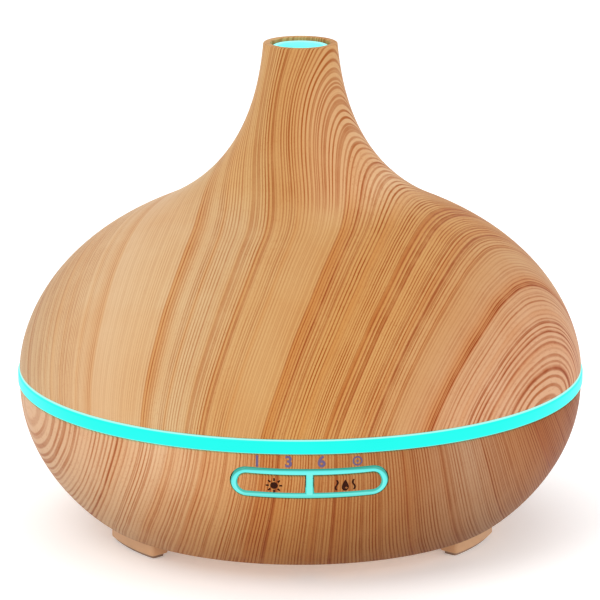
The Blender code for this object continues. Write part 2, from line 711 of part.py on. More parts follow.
def make_button_board(make):
    board_low, board_high = -12.6, -11.0
    outline = rounded_rectangle((-24.5, -4.5), (24.5, 5.0), [0.6] * 4, 2)
    holes = [circle(1.2, (-POST_X, 0.0), 8), circle(1.2, (POST_X, 0.0), 8)]
    board = make.plate("button_board", outline, board_low, board_high, "board", holes)
    tilt_to_panel(board)
    for i, x in enumerate(INDICATOR_X):
        led = make.box(f"indicator_{i}", (x - 0.9, 3.6, board_high - 0.5), (x + 0.9, 4.6, board_high + 0.8))
        tilt_to_panel(led)
        join(board, led)

    for side, name in ((-1, "light_switch"), (1, "mist_switch")):
        x = side * SWITCH_X
        body = make.box(name, (x - 3, -3, board_high + GAP), (x + 3, 3, -7.5), "black")
        pocket = make.rod(name + "_pocket", 2.05, (x, 0, -9.7), (x, 0, -5.0), steps=12)
        plunger = make.rod(name + "_plunger", 1.7, (x, 0, -8.6), (x, 0, -6.5), "black", steps=12)
        tilt_to_panel(body, pocket, plunger)
        cut(body, pocket)

    for i, side in enumerate((-1, 1), 1):
        seat = (side * POST_X, 0, board_low - GAP)
        tilt_to_panel(
            add_screw(make, f"button_board_screw_{i}", seat, 0.8, 1.7, 1.2, 4.6, down=False)
        )


def make_timer_light_guide(make):
    """Four short light pipes on a bar, from the indicator lights to the inside of the bowl."""
    low, high, half_width = 41.8, 43.3, 1.1
    guide = make.box("timer_light_guide", (-15.6, -77.0, 42.9), (14.8, -75.0, 43.9), "milky")
    for i, x in enumerate(INDICATOR_X):
        reach = math.sqrt(80.7**2 - (abs(x) + half_width) ** 2)
        join(guide, make.box(f"pipe_{i}", (x - half_width, -reach, low), (x + half_width, -73.9, high)))


# --- Main board and power ----------------------------------------------------------------------------
def make_main_board(make):
    outline = rounded_rectangle((-50.0, -34.0), (-20.4, 14.0), [6.0, 1.0, 1.0, 1.0], 3)
    holes = [circle(1.3, place, 8) for place in BOARD_SCREWS]
    board = make.plate("main_board", outline, BOARD_BOTTOM, BOARD_TOP, "board", holes)
    for name, (x, y) in CONNECTORS.items():
        connector = make.box(
            name + "_connector", (x - 2.4, y - 3.2, BOARD_TOP - 0.5), (x + 2.4, y + 3.2, 17.5)
        )
        join(board, connector)
    for i, (x, y) in enumerate((BOARD_SCREWS[1], BOARD_SCREWS[2]), 1):
        add_screw(make, f"main_board_screw_{i}", (x, y, ON_BOARD), 1.0, 2.1, 1.4, 4.2)


def make_components(make):
    for i, (x, y) in enumerate(((-32.0, -27.0), (-34.0, -17.5)), 1):
        make.rod(f"capacitor_{i}", 3.8, (x, y, ON_BOARD), (x, y, 21.4), "black")

    drum = [
        (0.0, 12.1), (4.8, 12.1), (4.8, 13.1), (3.6, 13.1),
        (3.6, 18.0), (4.8, 18.0), (4.8, 19.0), (0.0, 19.0),
    ]
    coil = make.turned("inductor", drum, "brass", steps=20)
    coil.location = (-34.0 * MM, -6.0 * MM, 0.0)

    make.box("driver_transistor", (-47.0, -6.5, ON_BOARD), (-40.5, -0.5, 14.4), "black")
    sink = make.box("heat_sink", (-48.0, -8.0, 14.7), (-39.5, 1.0, 20.5), "aluminium")
    for i in range(3):
        x = -46.4 + 2.4 * i
        cut(sink, make.box(f"sink_slot_{i}", (x, -9.0, 16.2), (x + 1.2, 2.0, 22.0)))

    chip = make.box("controller_chip", (-36.0, 0.8, ON_BOARD + 0.3), (-28.0, 4.8, 13.9), "black")
    for k in range(5):
        x = -35.2 + 1.6 * k
        join(chip, make.box(f"chip_legs_{k}", (x - 0.3, -0.6, ON_BOARD), (x + 0.3, 6.2, 12.9)))


CONNECTORS = {
    "power": (-29.8, 10.6),
    "fan": (-23.2, 3.5),
    "transducer": (-23.2, -8.0),
    "buttons": (-23.2, -22.0),
    "leds": (-43.0, -14.5),
}


def make_dc_jack(make):
    """The low-voltage socket: a housing with a round collar, and the pin inside it."""
    jack = make.box("dc_jack", (-4.6, 52.6, 9.7), (4.6, 62.2, 20.3), "black")
    collar = make.rod(
        "jack_collar", 4.0, (0, 61.0, SOCKET_HEIGHT), (0, SOCKET_FACE - 0.2, SOCKET_HEIGHT), steps=24
    )
    bore = make.rod("jack_bore", 3.2, (0, 54.0, SOCKET_HEIGHT), (0, 76.0, SOCKET_HEIGHT), steps=16)
    join(jack, collar)
    cut(jack, bore)
    make.rod("dc_jack_pin", 1.05, (0, 54.3, SOCKET_HEIGHT), (0, 62.6, SOCKET_HEIGHT), "brass", steps=10)


def make_leads(make):
    height = 15.0  # of the leads where they enter a connector
    power, fan, transducer, buttons, leds = CONNECTORS.values()
    make.lead(
        "power_lead",
        [(-4.9, 57.0, 13.0), (-10.0, 56.4, 12.6), (-18.0, 55.3, 12.2), (-26.5, 47.5, 12.2),
         (-28.5, 34.0, 12.4), (-30.0, 23.0, 14.0), (power[0], power[1] + 3.8, height)],
        1.3, "red",
    )
    make.lead(
        "fan_lead",
        [(-20.6, 20.0, 14.0), (-22.4, 18.5, 14.0), (-23.0, 13.0, 16.2), (fan[0], fan[1] + 3.8, height)],
        0.9, "red",
    )
    make.lead(
        "transducer_lead",
        [(-1.5, 0.0, 19.2), (-2.0, -0.5, 17.0), (-4.5, -2.5, 14.4), (-11.0, -6.0, 13.4),
         (transducer[0] + 2.9, transducer[1], height)],
        0.9, "red",
    )
    make.lead(
        "button_lead",
        [(-6.0, -68.3, 36.8), (-6.2, -67.8, 31.0), (-6.6, -67.6, 25.0), (-9.0, -62.0, 19.4),
         (-15.0, -50.0, 15.6), (-19.0, -38.0, 14.4), (buttons[0], buttons[1] - 3.8, height)],
        1.0, "black",
    )
    make.lead(
        "led_lead",
        [(-74.0, -18.0, 37.5), (-73.0, -18.0, 33.5), (-70.0, -17.5, 26.0), (-64.0, -17.0, 19.0),
         (-55.0, -15.5, 15.4), (leds[0] - 2.9, leds[1], height)],
        1.0, "black",
    )


def main():
    clear_scene()
    make = Maker()
    make_cover(make)
    make_inner_cover(make)
    make_light_ring(make)
    make_base_shell(make)
    make_bottom_cover(make)
    make_bottom_screws(make)
    make_water_tank(make)
    make_air_tower(make)
    make_air_outlet_cap(make)
    make_transducer(make)
    make_fan_frame(make)
    make_fan_rotor(make)
    make_fan_fixings(make)
    make_led_board(make)
    make_button_bezel(make)
    make_button(make, "light_button", -1)
    make_button(make, "mist_button", 1)
    make_button_board(make)
    make_timer_light_guide(make)
    make_main_board(make)
    make_components(make)
    make_dc_jack(make)
    make_leads(make)


main()
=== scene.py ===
"""Looks of the ultrasonic aroma diffuser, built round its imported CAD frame.

The wood-print shells, the glowing ring, the buttons, the feet and everything that shows when the cover
is off are made here as smooth meshes. The other CAD nodes stay, with rounded edges and their own
procedural materials. Outlines are in millimetres and the mesh helpers turn them into metres. +Z is up
and the buttons face -Y.
"""

import json
import math

import bmesh
import bpy
from mathutils import Matrix, Vector


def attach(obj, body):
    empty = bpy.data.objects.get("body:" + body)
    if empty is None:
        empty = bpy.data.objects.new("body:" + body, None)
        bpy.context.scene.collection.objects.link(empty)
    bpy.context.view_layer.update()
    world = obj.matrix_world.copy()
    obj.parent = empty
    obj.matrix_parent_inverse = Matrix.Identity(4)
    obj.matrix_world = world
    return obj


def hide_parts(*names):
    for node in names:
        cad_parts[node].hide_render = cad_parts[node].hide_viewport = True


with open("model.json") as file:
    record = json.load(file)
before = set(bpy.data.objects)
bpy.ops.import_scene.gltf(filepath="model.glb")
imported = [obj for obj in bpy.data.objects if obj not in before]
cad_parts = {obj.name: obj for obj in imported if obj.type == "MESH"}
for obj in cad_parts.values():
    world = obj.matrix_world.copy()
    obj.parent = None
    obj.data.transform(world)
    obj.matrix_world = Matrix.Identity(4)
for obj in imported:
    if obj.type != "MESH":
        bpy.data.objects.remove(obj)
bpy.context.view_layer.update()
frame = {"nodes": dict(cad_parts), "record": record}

MM = 0.001
GAP = 0.3
SEGMENTS = 240  # round each large turned piece
FILLET_STEPS = 4

# --- Driving dimensions, the same as the CAD model's -----------------------------------------------
BODY_RADIUS, RING_RADIUS = 83.5, 84.0
RING_BOTTOM, RING_TOP, RING_INNER = 44.4, 48.3, 80.7
HEIGHT = 145.6
WALL = 2.2
BASE_BOTTOM, BASE_BOTTOM_RADIUS = 5.0, 61.2
LEDGE_INNER, LEDGE_OUTER = 54.0, 64.0  # the bowl's inward ledge, which the bottom plate lies under
LEDGE_BOTTOM, LEDGE_TOP = 7.3, 9.3
NECK_RADIUS = 10.9
SHOULDER = (43.6, 96.1)
TANK_RADIUS, TANK_WALL, TANK_FLOOR, TANK_RIM = 66.0, 2.0, 22.5, 50.5
FLANGE_RADIUS, FLANGE_BOTTOM, FLANGE_TOP = 82.2, 46.5, 48.3
SPIGOT_RADIUS = 80.3
LINER_WALL, CHIMNEY_RADIUS = 1.5, 8.2
SKIRT_RADIUS, SKIRT_BOTTOM = 77.6, 49.0
FOOT_ANGLES = (60.0, 180.0, 300.0)
FOOT_INNER, FOOT_OUTER, FOOT_HALF_ANGLE = 53.2, 59.5, 12.0
FOOT_BOTTOM, PAD_INSET, PAD_TOP = 1.0, 1.0, 1.6
BASE_SCREW_ANGLES, BASE_SCREW_CIRCLE = (0.0, 120.0, 240.0), 57.5
PANEL_HEIGHT, PANEL_RADIUS, PANEL_TILT = 35.4, 82.55, math.radians(12.4)
BEZEL_WIDTH, BEZEL_HEIGHT, BEZEL_BORDER, DIVIDER = 44.0, 8.9, 1.5, 1.8
CAP_HEIGHT = 0.6  # how far a button stands out of the bowl
BUTTON_CORNER = 0.3
BUTTON_DEPTH, BEZEL_DEPTH = 3.4, 3.6  # how far the caps and their frame reach into the bowl
BEND_STEP = 0.8  # the longest edge of a loop that is bent onto the bowl
TIMER_MARKS, MARK_HEIGHT = (-14.7, -5.9, 3.3, 13.4), 42.1
PRINT, PRINT_LIFT = 0.04, 0.03  # the ink's thickness, and its height off the plastic
FAN_Y = 32.0
TOWER_LENGTH, TOWER_WIDTH, TOWER_TOP, TOWER_WALL = 34.0, 20.0, 52.0, 1.6
TOWER_FLANGE = 2.0
SOCKET_HEIGHT, SOCKET_FACE = 15.0, 64.0
BOSS_RADIUS, RECESS_RADIUS, SOCKET_RADIUS = 7.4, 6.2, 4.4
VENT_RADIUS, VENT_PITCH, VENT_WIDTH = 17.0, 4.4, 2.4  # the slots under the fan
SEAT_RADIUS, SCREW_HOLE_RADIUS = 3.3, 1.7
HOOD_LENGTH, HOOD_WIDTH, HOOD_BOTTOM, HOOD_TOP = 38.0, 24.0, 57.4, 59.0
TAB_REACH, TAB_HALF_WIDTH, TAB_BOTTOM, TAB_TOP = 80.2, 4.0, 51.4, 52.8  # hold the liner in the cover

BODY_OF = {
    node: body for body, nodes in frame["record"]["behaviour"]["bodies"].items() for node in nodes
}


# --- Outlines ---------------------------------------------------------------------------------------
def bezier(start, pull_out, pull_in, end, segments):
    """Points along one cubic curve, ends included."""
    points = []
    for i in range(segments + 1):
        t = i / segments
        weights = ((1 - t) ** 3, 3 * (1 - t) ** 2 * t, 3 * (1 - t) * t * t, t**3)
        corners = (start, pull_out, pull_in, end)
        points.append(tuple(sum(w * p[k] for w, p in zip(weights, corners)) for k in (0, 1)))
    return points


def offset(points, distance):
    """The outline moved outwards by distance, or inwards where it is negative."""
    moved = []
    for i, (radius, height) in enumerate(points):
        before, after = points[max(i - 1, 0)], points[min(i + 1, len(points) - 1)]
        along = Vector((after[0] - before[0], after[1] - before[1])).normalized()
        moved.append((radius - along.y * distance, height + along.x * distance))
    return moved


def filleted(corners):
    """An outline's points. A corner with a third value is rounded by about that radius."""
    points = []
    for i, corner in enumerate(corners):
        here = Vector(corner[:2])
        if len(corner) == 2:
            points.append(tuple(here))
            continue
        before = Vector(corners[i - 1][:2])
        after = Vector(corners[(i + 1) % len(corners)][:2])
        start = here + (before - here).normalized() * corner[2]
        end = here + (after - here).normalized() * corner[2]
        for k in range(FILLET_STEPS + 1):
            t = k / FILLET_STEPS
            points.append(tuple((1 - t) ** 2 * start + 2 * t * (1 - t) * here + t * t * end))
    return points


def bowl_outline(segments=40):
    """The base's outside, from its top edge down to its lower lip."""
    top = RING_BOTTOM - GAP
    return bezier(
        (BODY_RADIUS, top), (BODY_RADIUS, 20.5), (63.0, 5.5), (BASE_BOTTOM_RADIUS, BASE_BOTTOM), segments
    )


def cover_outline(segments=36):
    """The cover's outside, from the mouth down the neck and over the dome to its lower edge."""
    neck = bezier((NECK_RADIUS, HEIGHT), (13.0, 121.2), (22.5, 105.2), SHOULDER, segments)
    dome = bezier(SHOULDER, (80.8, 80.1), (BODY_RADIUS, 52.9), (BODY_RADIUS, RING_TOP + GAP), segments)
    return neck + dome[1:]


def polar(radius, angle):
    """The (x, y) at this radius, at an angle from the front, -Y, towards +X."""
    return (radius * math.sin(math.radians(angle)), -radius * math.cos(math.radians(angle)))


def circle(radius, centre=(0.0, 0.0), steps=48):
    turns = [2 * math.pi * i / steps for i in range(steps)]
    return [(centre[0] + radius * math.cos(a), centre[1] + radius * math.sin(a)) for a in turns]


def ring_sector(inner, outer, from_angle, to_angle, steps, corner=0.0):
    """A flat arc between two radii, with rounded corners."""
    angles = [from_angle + (to_angle - from_angle) * i / steps for i in range(steps + 1)]
    points = [polar(outer, a) for a in angles] + [polar(inner, a) for a in reversed(angles)]
    if corner:
        ends = (0, steps, steps + 1, len(points) - 1)
        points = [(*p, corner) if i in ends else p for i, p in enumerate(points)]
    return filleted(points)


def stadium(width, height, centre=(0.0, 0.0), steps=16):
    """A slot shape with round ends, its length along X."""
    radius, reach = height / 2, (width - height) / 2
    points = []
    for side in (1, -1):
        for k in range(steps + 1):
            angle = -math.pi / 2 + math.pi * k / steps
            x = reach + radius * math.cos(angle)
            y = radius * math.sin(angle)
            points.append((centre[0] + side * x, centre[1] + side * y))
    return points


# --- Meshes -----------------------------------------------------------------------------------------
def in_scene(name, data):
    """A new object that holds this mesh, curve, lamp or camera."""
    obj = bpy.data.objects.new(name, data)
    bpy.context.scene.collection.objects.link(obj)
    return obj


def new_mesh(name, build):
    """A mesh filled by build(bm), in millimetres, with its seams welded and its faces turned outwards."""
    bm = bmesh.new()
    build(bm)
    bmesh.ops.remove_doubles(bm, verts=bm.verts, dist=0.001)
    bmesh.ops.dissolve_degenerate(bm, edges=bm.edges, dist=0.0005)
    bmesh.ops.recalc_face_normals(bm, faces=bm.faces)
    bmesh.ops.scale(bm, vec=(MM, MM, MM), verts=bm.verts)
    mesh = bpy.data.meshes.new(name)
    bm.to_mesh(mesh)
    bm.free()
    return mesh


def lathe(name, outline, segments=SEGMENTS, paint=None):
    """A closed outline of (radius, height) turned about Z. paint(radius, height) picks a material slot."""

    def build(bm):
        rings = []
        for i in range(segments):
            angle = 2 * math.pi * i / segments
            rings.append([bm.verts.new((r * math.cos(angle), r * math.sin(angle), z)) for r, z in outline])
        count = len(outline)
        for i in range(segments):
            here, there = rings[i], rings[(i + 1) % segments]
            for j in range(count):
                k = (j + 1) % count
                if outline[j][0] == 0 and outline[k][0] == 0:
                    continue
                face = bm.faces.new((here[j], there[j], there[k], here[k]))
                if paint:
                    middle = ((outline[j][0] + outline[k][0]) / 2, (outline[j][1] + outline[k][1]) / 2)
                    face.material_index = paint(*middle)

    return new_mesh(name, build)


def plate(name, outline, bottom, top, holes=(), bevel=0.0):
    """A flat plate of an outline with holes, its edges rounded by bevel."""
    curve = bpy.data.curves.new(name, "CURVE")
    curve.dimensions = "2D"
    curve.fill_mode = "BOTH"
    curve.extrude = ((top - bottom) / 2 - bevel) * MM
    curve.bevel_depth = bevel * MM
    curve.bevel_resolution = 2
    curve.offset = -bevel * MM
    for loop in (outline, *holes):
        spline = curve.splines.new("POLY")
        spline.points.add(len(loop) - 1)
        for point, (x, y) in zip(spline.points, loop):
            point.co = (x * MM, y * MM, 0.0, 1.0)
        spline.use_cyclic_u = True
    obj = in_scene(name, curve)
    obj.location.z = (top + bottom) / 2 * MM
    return baked(name, obj)


def baked(name, obj):
    """The mesh of an object as it is shown, in world space. The object is removed."""
    bpy.context.view_layer.update()
    graph = bpy.context.evaluated_depsgraph_get()
    mesh = bpy.data.meshes.new_from_object(obj.evaluated_get(graph))
    mesh.transform(obj.matrix_world)
    mesh.name = name
    bm = bmesh.new()
    bm.from_mesh(mesh)
    bmesh.ops.remove_doubles(bm, verts=bm.verts, dist=0.000001)
    bmesh.ops.recalc_face_normals(bm, faces=bm.faces)
    bm.to_mesh(mesh)
    bm.free()
    bpy.data.objects.remove(obj)
    return mesh


def carve(mesh, tools, operation="DIFFERENCE"):
    """The mesh after cutting these tool meshes from it, or joining them to it."""
    bpy.context.view_layer.update()
    body = in_scene("carved", mesh)
    helpers = []
    for tool in tools:
        helper = in_scene("tool", tool)
        helpers.append(helper)
        change = body.modifiers.new("change", "BOOLEAN")
        change.operation = operation
        change.solver = "EXACT"
        change.object = helper
    result = baked(mesh.name, body)
    for helper in helpers:
        bpy.data.objects.remove(helper)
    return result


def rod_mesh(name, radius, start, end, steps=32):
    axis = Vector(end) - Vector(start)
    turn = Vector((0, 0, 1)).rotation_difference(axis).to_matrix().to_4x4()
    place = Matrix.Translation((Vector(start) + Vector(end)) / 2) @ turn

    def build(bm):
        bmesh.ops.create_cone(
            bm, cap_ends=True, segments=steps, radius1=radius, radius2=radius,
            depth=axis.length, matrix=place,
        )

    return new_mesh(name, build)


def box_mesh(name, low, high):
    middle = [(a + b) / 2 for a, b in zip(low, high)]
    size = [b - a for a, b in zip(low, high)]
    place = Matrix.Translation(middle) @ Matrix.Diagonal((*size, 1.0))
    return new_mesh(name, lambda bm: bmesh.ops.create_cube(bm, size=1.0, matrix=place))


def piece(name, mesh, materials, node=None, also=(), body=None, smooth=35.0):
    """Puts a mesh in the scene. It stands for a CAD node, and for any others named, or rides on a body."""
    obj = in_scene(name, mesh)
    mesh.materials.clear()
    for one in materials:
        mesh.materials.append(one)
    mesh.polygons.foreach_set("use_smooth", [True] * len(mesh.polygons))
    mesh.set_sharp_from_angle(angle=math.radians(smooth))
    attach(obj, body or BODY_OF[node])
    if node:
        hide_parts(node, *also)
    return obj


def soften(obj, width, angle=30.0):
    """Rounds an object's edges with a bevel."""
    weld = obj.modifiers.new("weld", "WELD")
    weld.merge_threshold = 0.00001
    bevel = obj.modifiers.new("round", "BEVEL")
    bevel.width = width * MM
    bevel.segments = 2
    bevel.limit_method = "ANGLE"
    bevel.angle_limit = math.radians(angle)
    bevel.harden_normals = True


# --- Materials --------------------------------------------------------------------------------------
def opaque(value):
    """A colour with its alpha. A node's output stays as it is."""
    return (*value, 1.0) if isinstance(value, tuple) else value


class Shader:
    """One node material. Its methods add a node and give back the output that matters."""

    def __init__(self, name, roughness=0.5, metallic=0.0, **sockets):
        self.material = bpy.data.materials.new(name)
        self.material.use_nodes = True
        self.nodes = self.material.node_tree.nodes
        self.links = self.material.node_tree.links
        self.surface = self.nodes["Principled BSDF"]
        self.surface.inputs["Roughness"].default_value = roughness
        self.surface.inputs["Metallic"].default_value = metallic
        for socket, value in sockets.items():
            self.surface.inputs[socket.replace("_", " ")].default_value = value

    def node(self, kind, inputs=(), **settings):
        made = self.nodes.new(kind)
        for key, value in settings.items():
            setattr(made, key, value)
        for key, value in dict(inputs).items():
            self.feed(made.inputs[key], value)
        return made

    def feed(self, socket, value):
        if isinstance(value, bpy.types.NodeSocket):
            self.links.new(value, socket)
        else:
            socket.default_value = value

    def math(self, operation, a, b=0.0, c=0.0):
        return self.node("ShaderNodeMath", {0: a, 1: b, 2: c}, operation=operation).outputs[0]

    def times(self, a, b):
        return self.math("MULTIPLY", a, b)

    def minus(self, a, b):
        return self.math("SUBTRACT", a, b)

    def absolute(self, a):
        return self.math("ABSOLUTE", a)

    def length(self, x, y):
        """The distance of (x, y) from zero."""
        return self.math("SQRT", self.math("MULTIPLY_ADD", x, x, self.times(y, y)))

    def share(self):
        """X, Y and Z as shares of the piece's own box, from its middle: -0.5 to 0.5."""
        generated = self.node("ShaderNodeTexCoord").outputs["Generated"]
        return self.vector_math("SUBTRACT", generated, (0.5, 0.5, 0.5))

    def place(self):
        """X, Y and Z on the object, in millimetres."""
        metres = self.node("ShaderNodeTexCoord").outputs["Object"]
        return self.stretch(metres, (1 / MM, 1 / MM, 1 / MM))

    def split(self, vector):
        made = self.node("ShaderNodeSeparateXYZ", {0: vector})
        return made.outputs[0], made.outputs[1], made.outputs[2]

    def vector(self, x, y, z):
        return self.node("ShaderNodeCombineXYZ", {0: x, 1: y, 2: z}).outputs[0]

    def vector_math(self, operation, a, b):
        return self.node("ShaderNodeVectorMath", {0: a, 1: b}, operation=operation).outputs[0]

    def stretch(self, vector, scale):
        return self.vector_math("MULTIPLY", vector, scale)

    def noise(self, vector, scale=1.0, detail=2.0, roughness=0.5):
        inputs = {"Vector": vector, "Scale": scale, "Detail": detail, "Roughness": roughness}
        return self.node("ShaderNodeTexNoise", inputs).outputs[0]

    def noise_line(self, value, scale=1.0, detail=2.0, roughness=0.5):
        """Noise along one value."""
        inputs = {"W": value, "Scale": scale, "Detail": detail, "Roughness": roughness}
        return self.node("ShaderNodeTexNoise", inputs, noise_dimensions="1D").outputs[0]

    def ramp(self, value, stops):
        """A colour ramp. Each stop is (position, colour or grey)."""
        made = self.node("ShaderNodeValToRGB", {0: value})
        elements = made.color_ramp.elements
        while len(elements) < len(stops):
            elements.new(0.5)
        for element, (position, colour) in zip(elements, stops):
            element.position = position
            grey = isinstance(colour, (int, float))
            element.color = (colour, colour, colour, 1.0) if grey else (*colour, 1.0)
        return made.outputs[0]

    def mix(self, factor, a, b, blend="MIX"):
        made = self.node("ShaderNodeMix", data_type="RGBA", blend_type=blend)
        self.feed(made.inputs[0], factor)
        self.feed(made.inputs[6], opaque(a))
        self.feed(made.inputs[7], opaque(b))
        return made.outputs[2]

    def scale_range(self, value, from_low, from_high, to_low=0.0, to_high=1.0):
        inputs = {0: value, 1: from_low, 2: from_high, 3: to_low, 4: to_high}
        return self.node("ShaderNodeMapRange", inputs).outputs[0]

    def smooth_range(self, value, from_low, from_high):
        """0 at from_low, 1 at from_high and eased between them."""
        inputs = {0: value, 1: from_low, 2: from_high}
        return self.node("ShaderNodeMapRange", inputs, interpolation_type="SMOOTHSTEP").outputs[0]

    def colour(self, value):
        self.feed(self.surface.inputs["Base Color"], opaque(value))

    def rough(self, value):
        self.feed(self.surface.inputs["Roughness"], value)

    def glow(self, value, strength=1.0):
        self.feed(self.surface.inputs["Emission Color"], opaque(value))
        self.surface.inputs["Emission Strength"].default_value = strength

    def bump(self, height, distance, strength=1.0):
        made = self.node("ShaderNodeBump", {"Height": height, "Distance": distance, "Strength": strength})
        self.links.new(made.outputs[0], self.surface.inputs["Normal"])


def srgb(red, green, blue):
    """A colour given as 0 to 255 screen values, in the linear values that shaders use."""
    def linear(value):
        value /= 255
        return value / 12.92 if value <= 0.04045 else ((value + 0.055) / 1.055) ** 2.4

    return (linear(red), linear(green), linear(blue))


BLOCK = 80.0  # the wood block's half width, which its bends are given for
BLOCK_REACH = 1.3 * BLOCK  # how far from the middle the tables of tones and lines reach
LATE_WOOD = (0.86, 0.55, 0.24)
LINE_WOOD = (0.56, 0.25, 0.08)
DARK_WOOD = (0.62, 0.26, 0.07)
PAINTED_BOWL_SHADE = (0.66, 0.64, 0.58)  # painted shade, which darkens the print down the bowl
NECK_TURN = 96.0, 138.0  # heights between which the layers turn to the front
NECK_TONE = SHOULDER[1], SHOULDER[1] + 12.0  # heights between which the neck's own tones take over
ARCHES = 6.0, 13.0  # layers between which the neck's lines darken towards its arches
COMB_PITCH = 0.84
EDGE_BEFORE, EDGE_AFTER = 0.2, 0.5  # a growth ring's sharp side, round its place


def strongest(shader, values):
    """The highest of several values at each point."""
    highest = values[0]
    for value in values[1:]:
        highest = shader.math("MAXIMUM", highest, value)
    return highest


def grain_layer(shader, place, block):
    """The number of the growth layer at each point, in millimetres from the block's middle.

    A plain block's layers would be its X alone. block says how they lean along Y and Z, how they bend
    with XX, XZ, YY, YZ and ZZ, and how far they turn to the front on the neck.
    """
    x, y, z = shader.split(shader.stretch(place, (1 / BLOCK, 1 / BLOCK, 1 / BLOCK)))
    z = shader.minus(z, RING_TOP / BLOCK)
    bent_x = shader.math("MULTIPLY_ADD", x, block["xx"], 1.0)
    bent_x = shader.math("MULTIPLY_ADD", z, block["xz"], bent_x)
    bent_y = shader.math("MULTIPLY_ADD", y, block["yy"], block["y"])
    bent_y = shader.math("MULTIPLY_ADD", z, block["yz"], bent_y)
    bent_z = shader.math("MULTIPLY_ADD", z, block["zz"], block["z"])
    layer = shader.times(x, bent_x)
    layer = shader.math("MULTIPLY_ADD", y, bent_y, layer)
    layer = shader.math("MULTIPLY_ADD", z, bent_z, layer)
    layer = shader.times(layer, BLOCK)
    turn = shader.smooth_range(shader.split(place)[2], *NECK_TURN)
    layer = shader.math("MULTIPLY_ADD", shader.times(turn, y), block["neck_turn"] * BLOCK, layer)
    drift = shader.noise(shader.stretch(place, (0.016, 0.016, 0.009)), 1.0, 0.0)
    ripple = shader.noise(shader.stretch(place, (0.06, 0.06, 0.025)), 1.0, 1.0)
    layer = shader.math("MULTIPLY_ADD", shader.minus(drift, 0.5), 3.5, layer)
    return shader.math("MULTIPLY_ADD", shader.minus(ripple, 0.5), 0.6, layer)


def along_block(shader, layer, stops):
    """A value or colour that changes from layer to layer. Each stop is (layer, value or colour)."""
    share = shader.scale_range(layer, -BLOCK_REACH, BLOCK_REACH)
    return shader.ramp(share, [((at + BLOCK_REACH) / (2 * BLOCK_REACH), tone) for at, tone in stops])


def growth_rings(shader, layer, rings):
    """Broad bands, each sharp at its place and faded on one side, the far one where its fade is positive."""
    bands = []
    for start, fade, depth in rings:
        side = 1 if fade > 0 else -1
        edge = shader.smooth_range(layer, start - side * EDGE_BEFORE, start + side * EDGE_AFTER)
        tail = shader.smooth_range(layer, start + fade, start + 0.15 * fade)
        bands.append(shader.times(shader.times(edge, tail), depth))
    return strongest(shader, bands)


def comb_lines(shader, layer):
    """Fine lines at a slightly uneven pitch, some stronger than others, with hairs between them."""
    turns = shader.times(layer, 1 / COMB_PITCH)
    turns = shader.math("MULTIPLY_ADD", shader.noise_line(layer, 0.12, 0.0), 2.0, turns)
    wave = shader.math("SINE", shader.times(turns, 2 * math.pi))
    comb = shader.ramp(shader.scale_range(wave, -1.0, 1.0), [(0.5, 0.0), (0.9, 1.0)])
    depth = shader.ramp(shader.noise_line(layer, 0.31, 1.0), [(0.35, 0.35), (0.6, 1.0)])
    hair = shader.ramp(shader.noise_line(layer, 1.3, 1.0, 0.6), [(0.58, 0.0), (0.66, 1.0)])
    return strongest(shader, [shader.times(comb, depth), shader.times(hair, 0.7)])


def thin_lines(shader, layer, dark_lines):
    """Single dark lines. Each is (layer, half its width, depth)."""
    lines = []
    for at, width, depth in dark_lines:
        away = shader.absolute(shader.minus(layer, at))
        lines.append(shader.times(shader.smooth_range(away, width, 0.1 * width), depth))
    return strongest(shader, lines)


def pore_dashes(shader, place, layer):
    """Short dark dashes along the grain."""
    _, y, z = shader.split(place)
    z = shader.minus(z, RING_TOP)
    squeezed = shader.stretch(shader.vector(layer, y, z), (3.2, 0.5, 1.375))
    return shader.ramp(shader.noise(squeezed, 1.0, 1.0, 0.6), [(0.56, 0.0), (0.70, 1.0)])


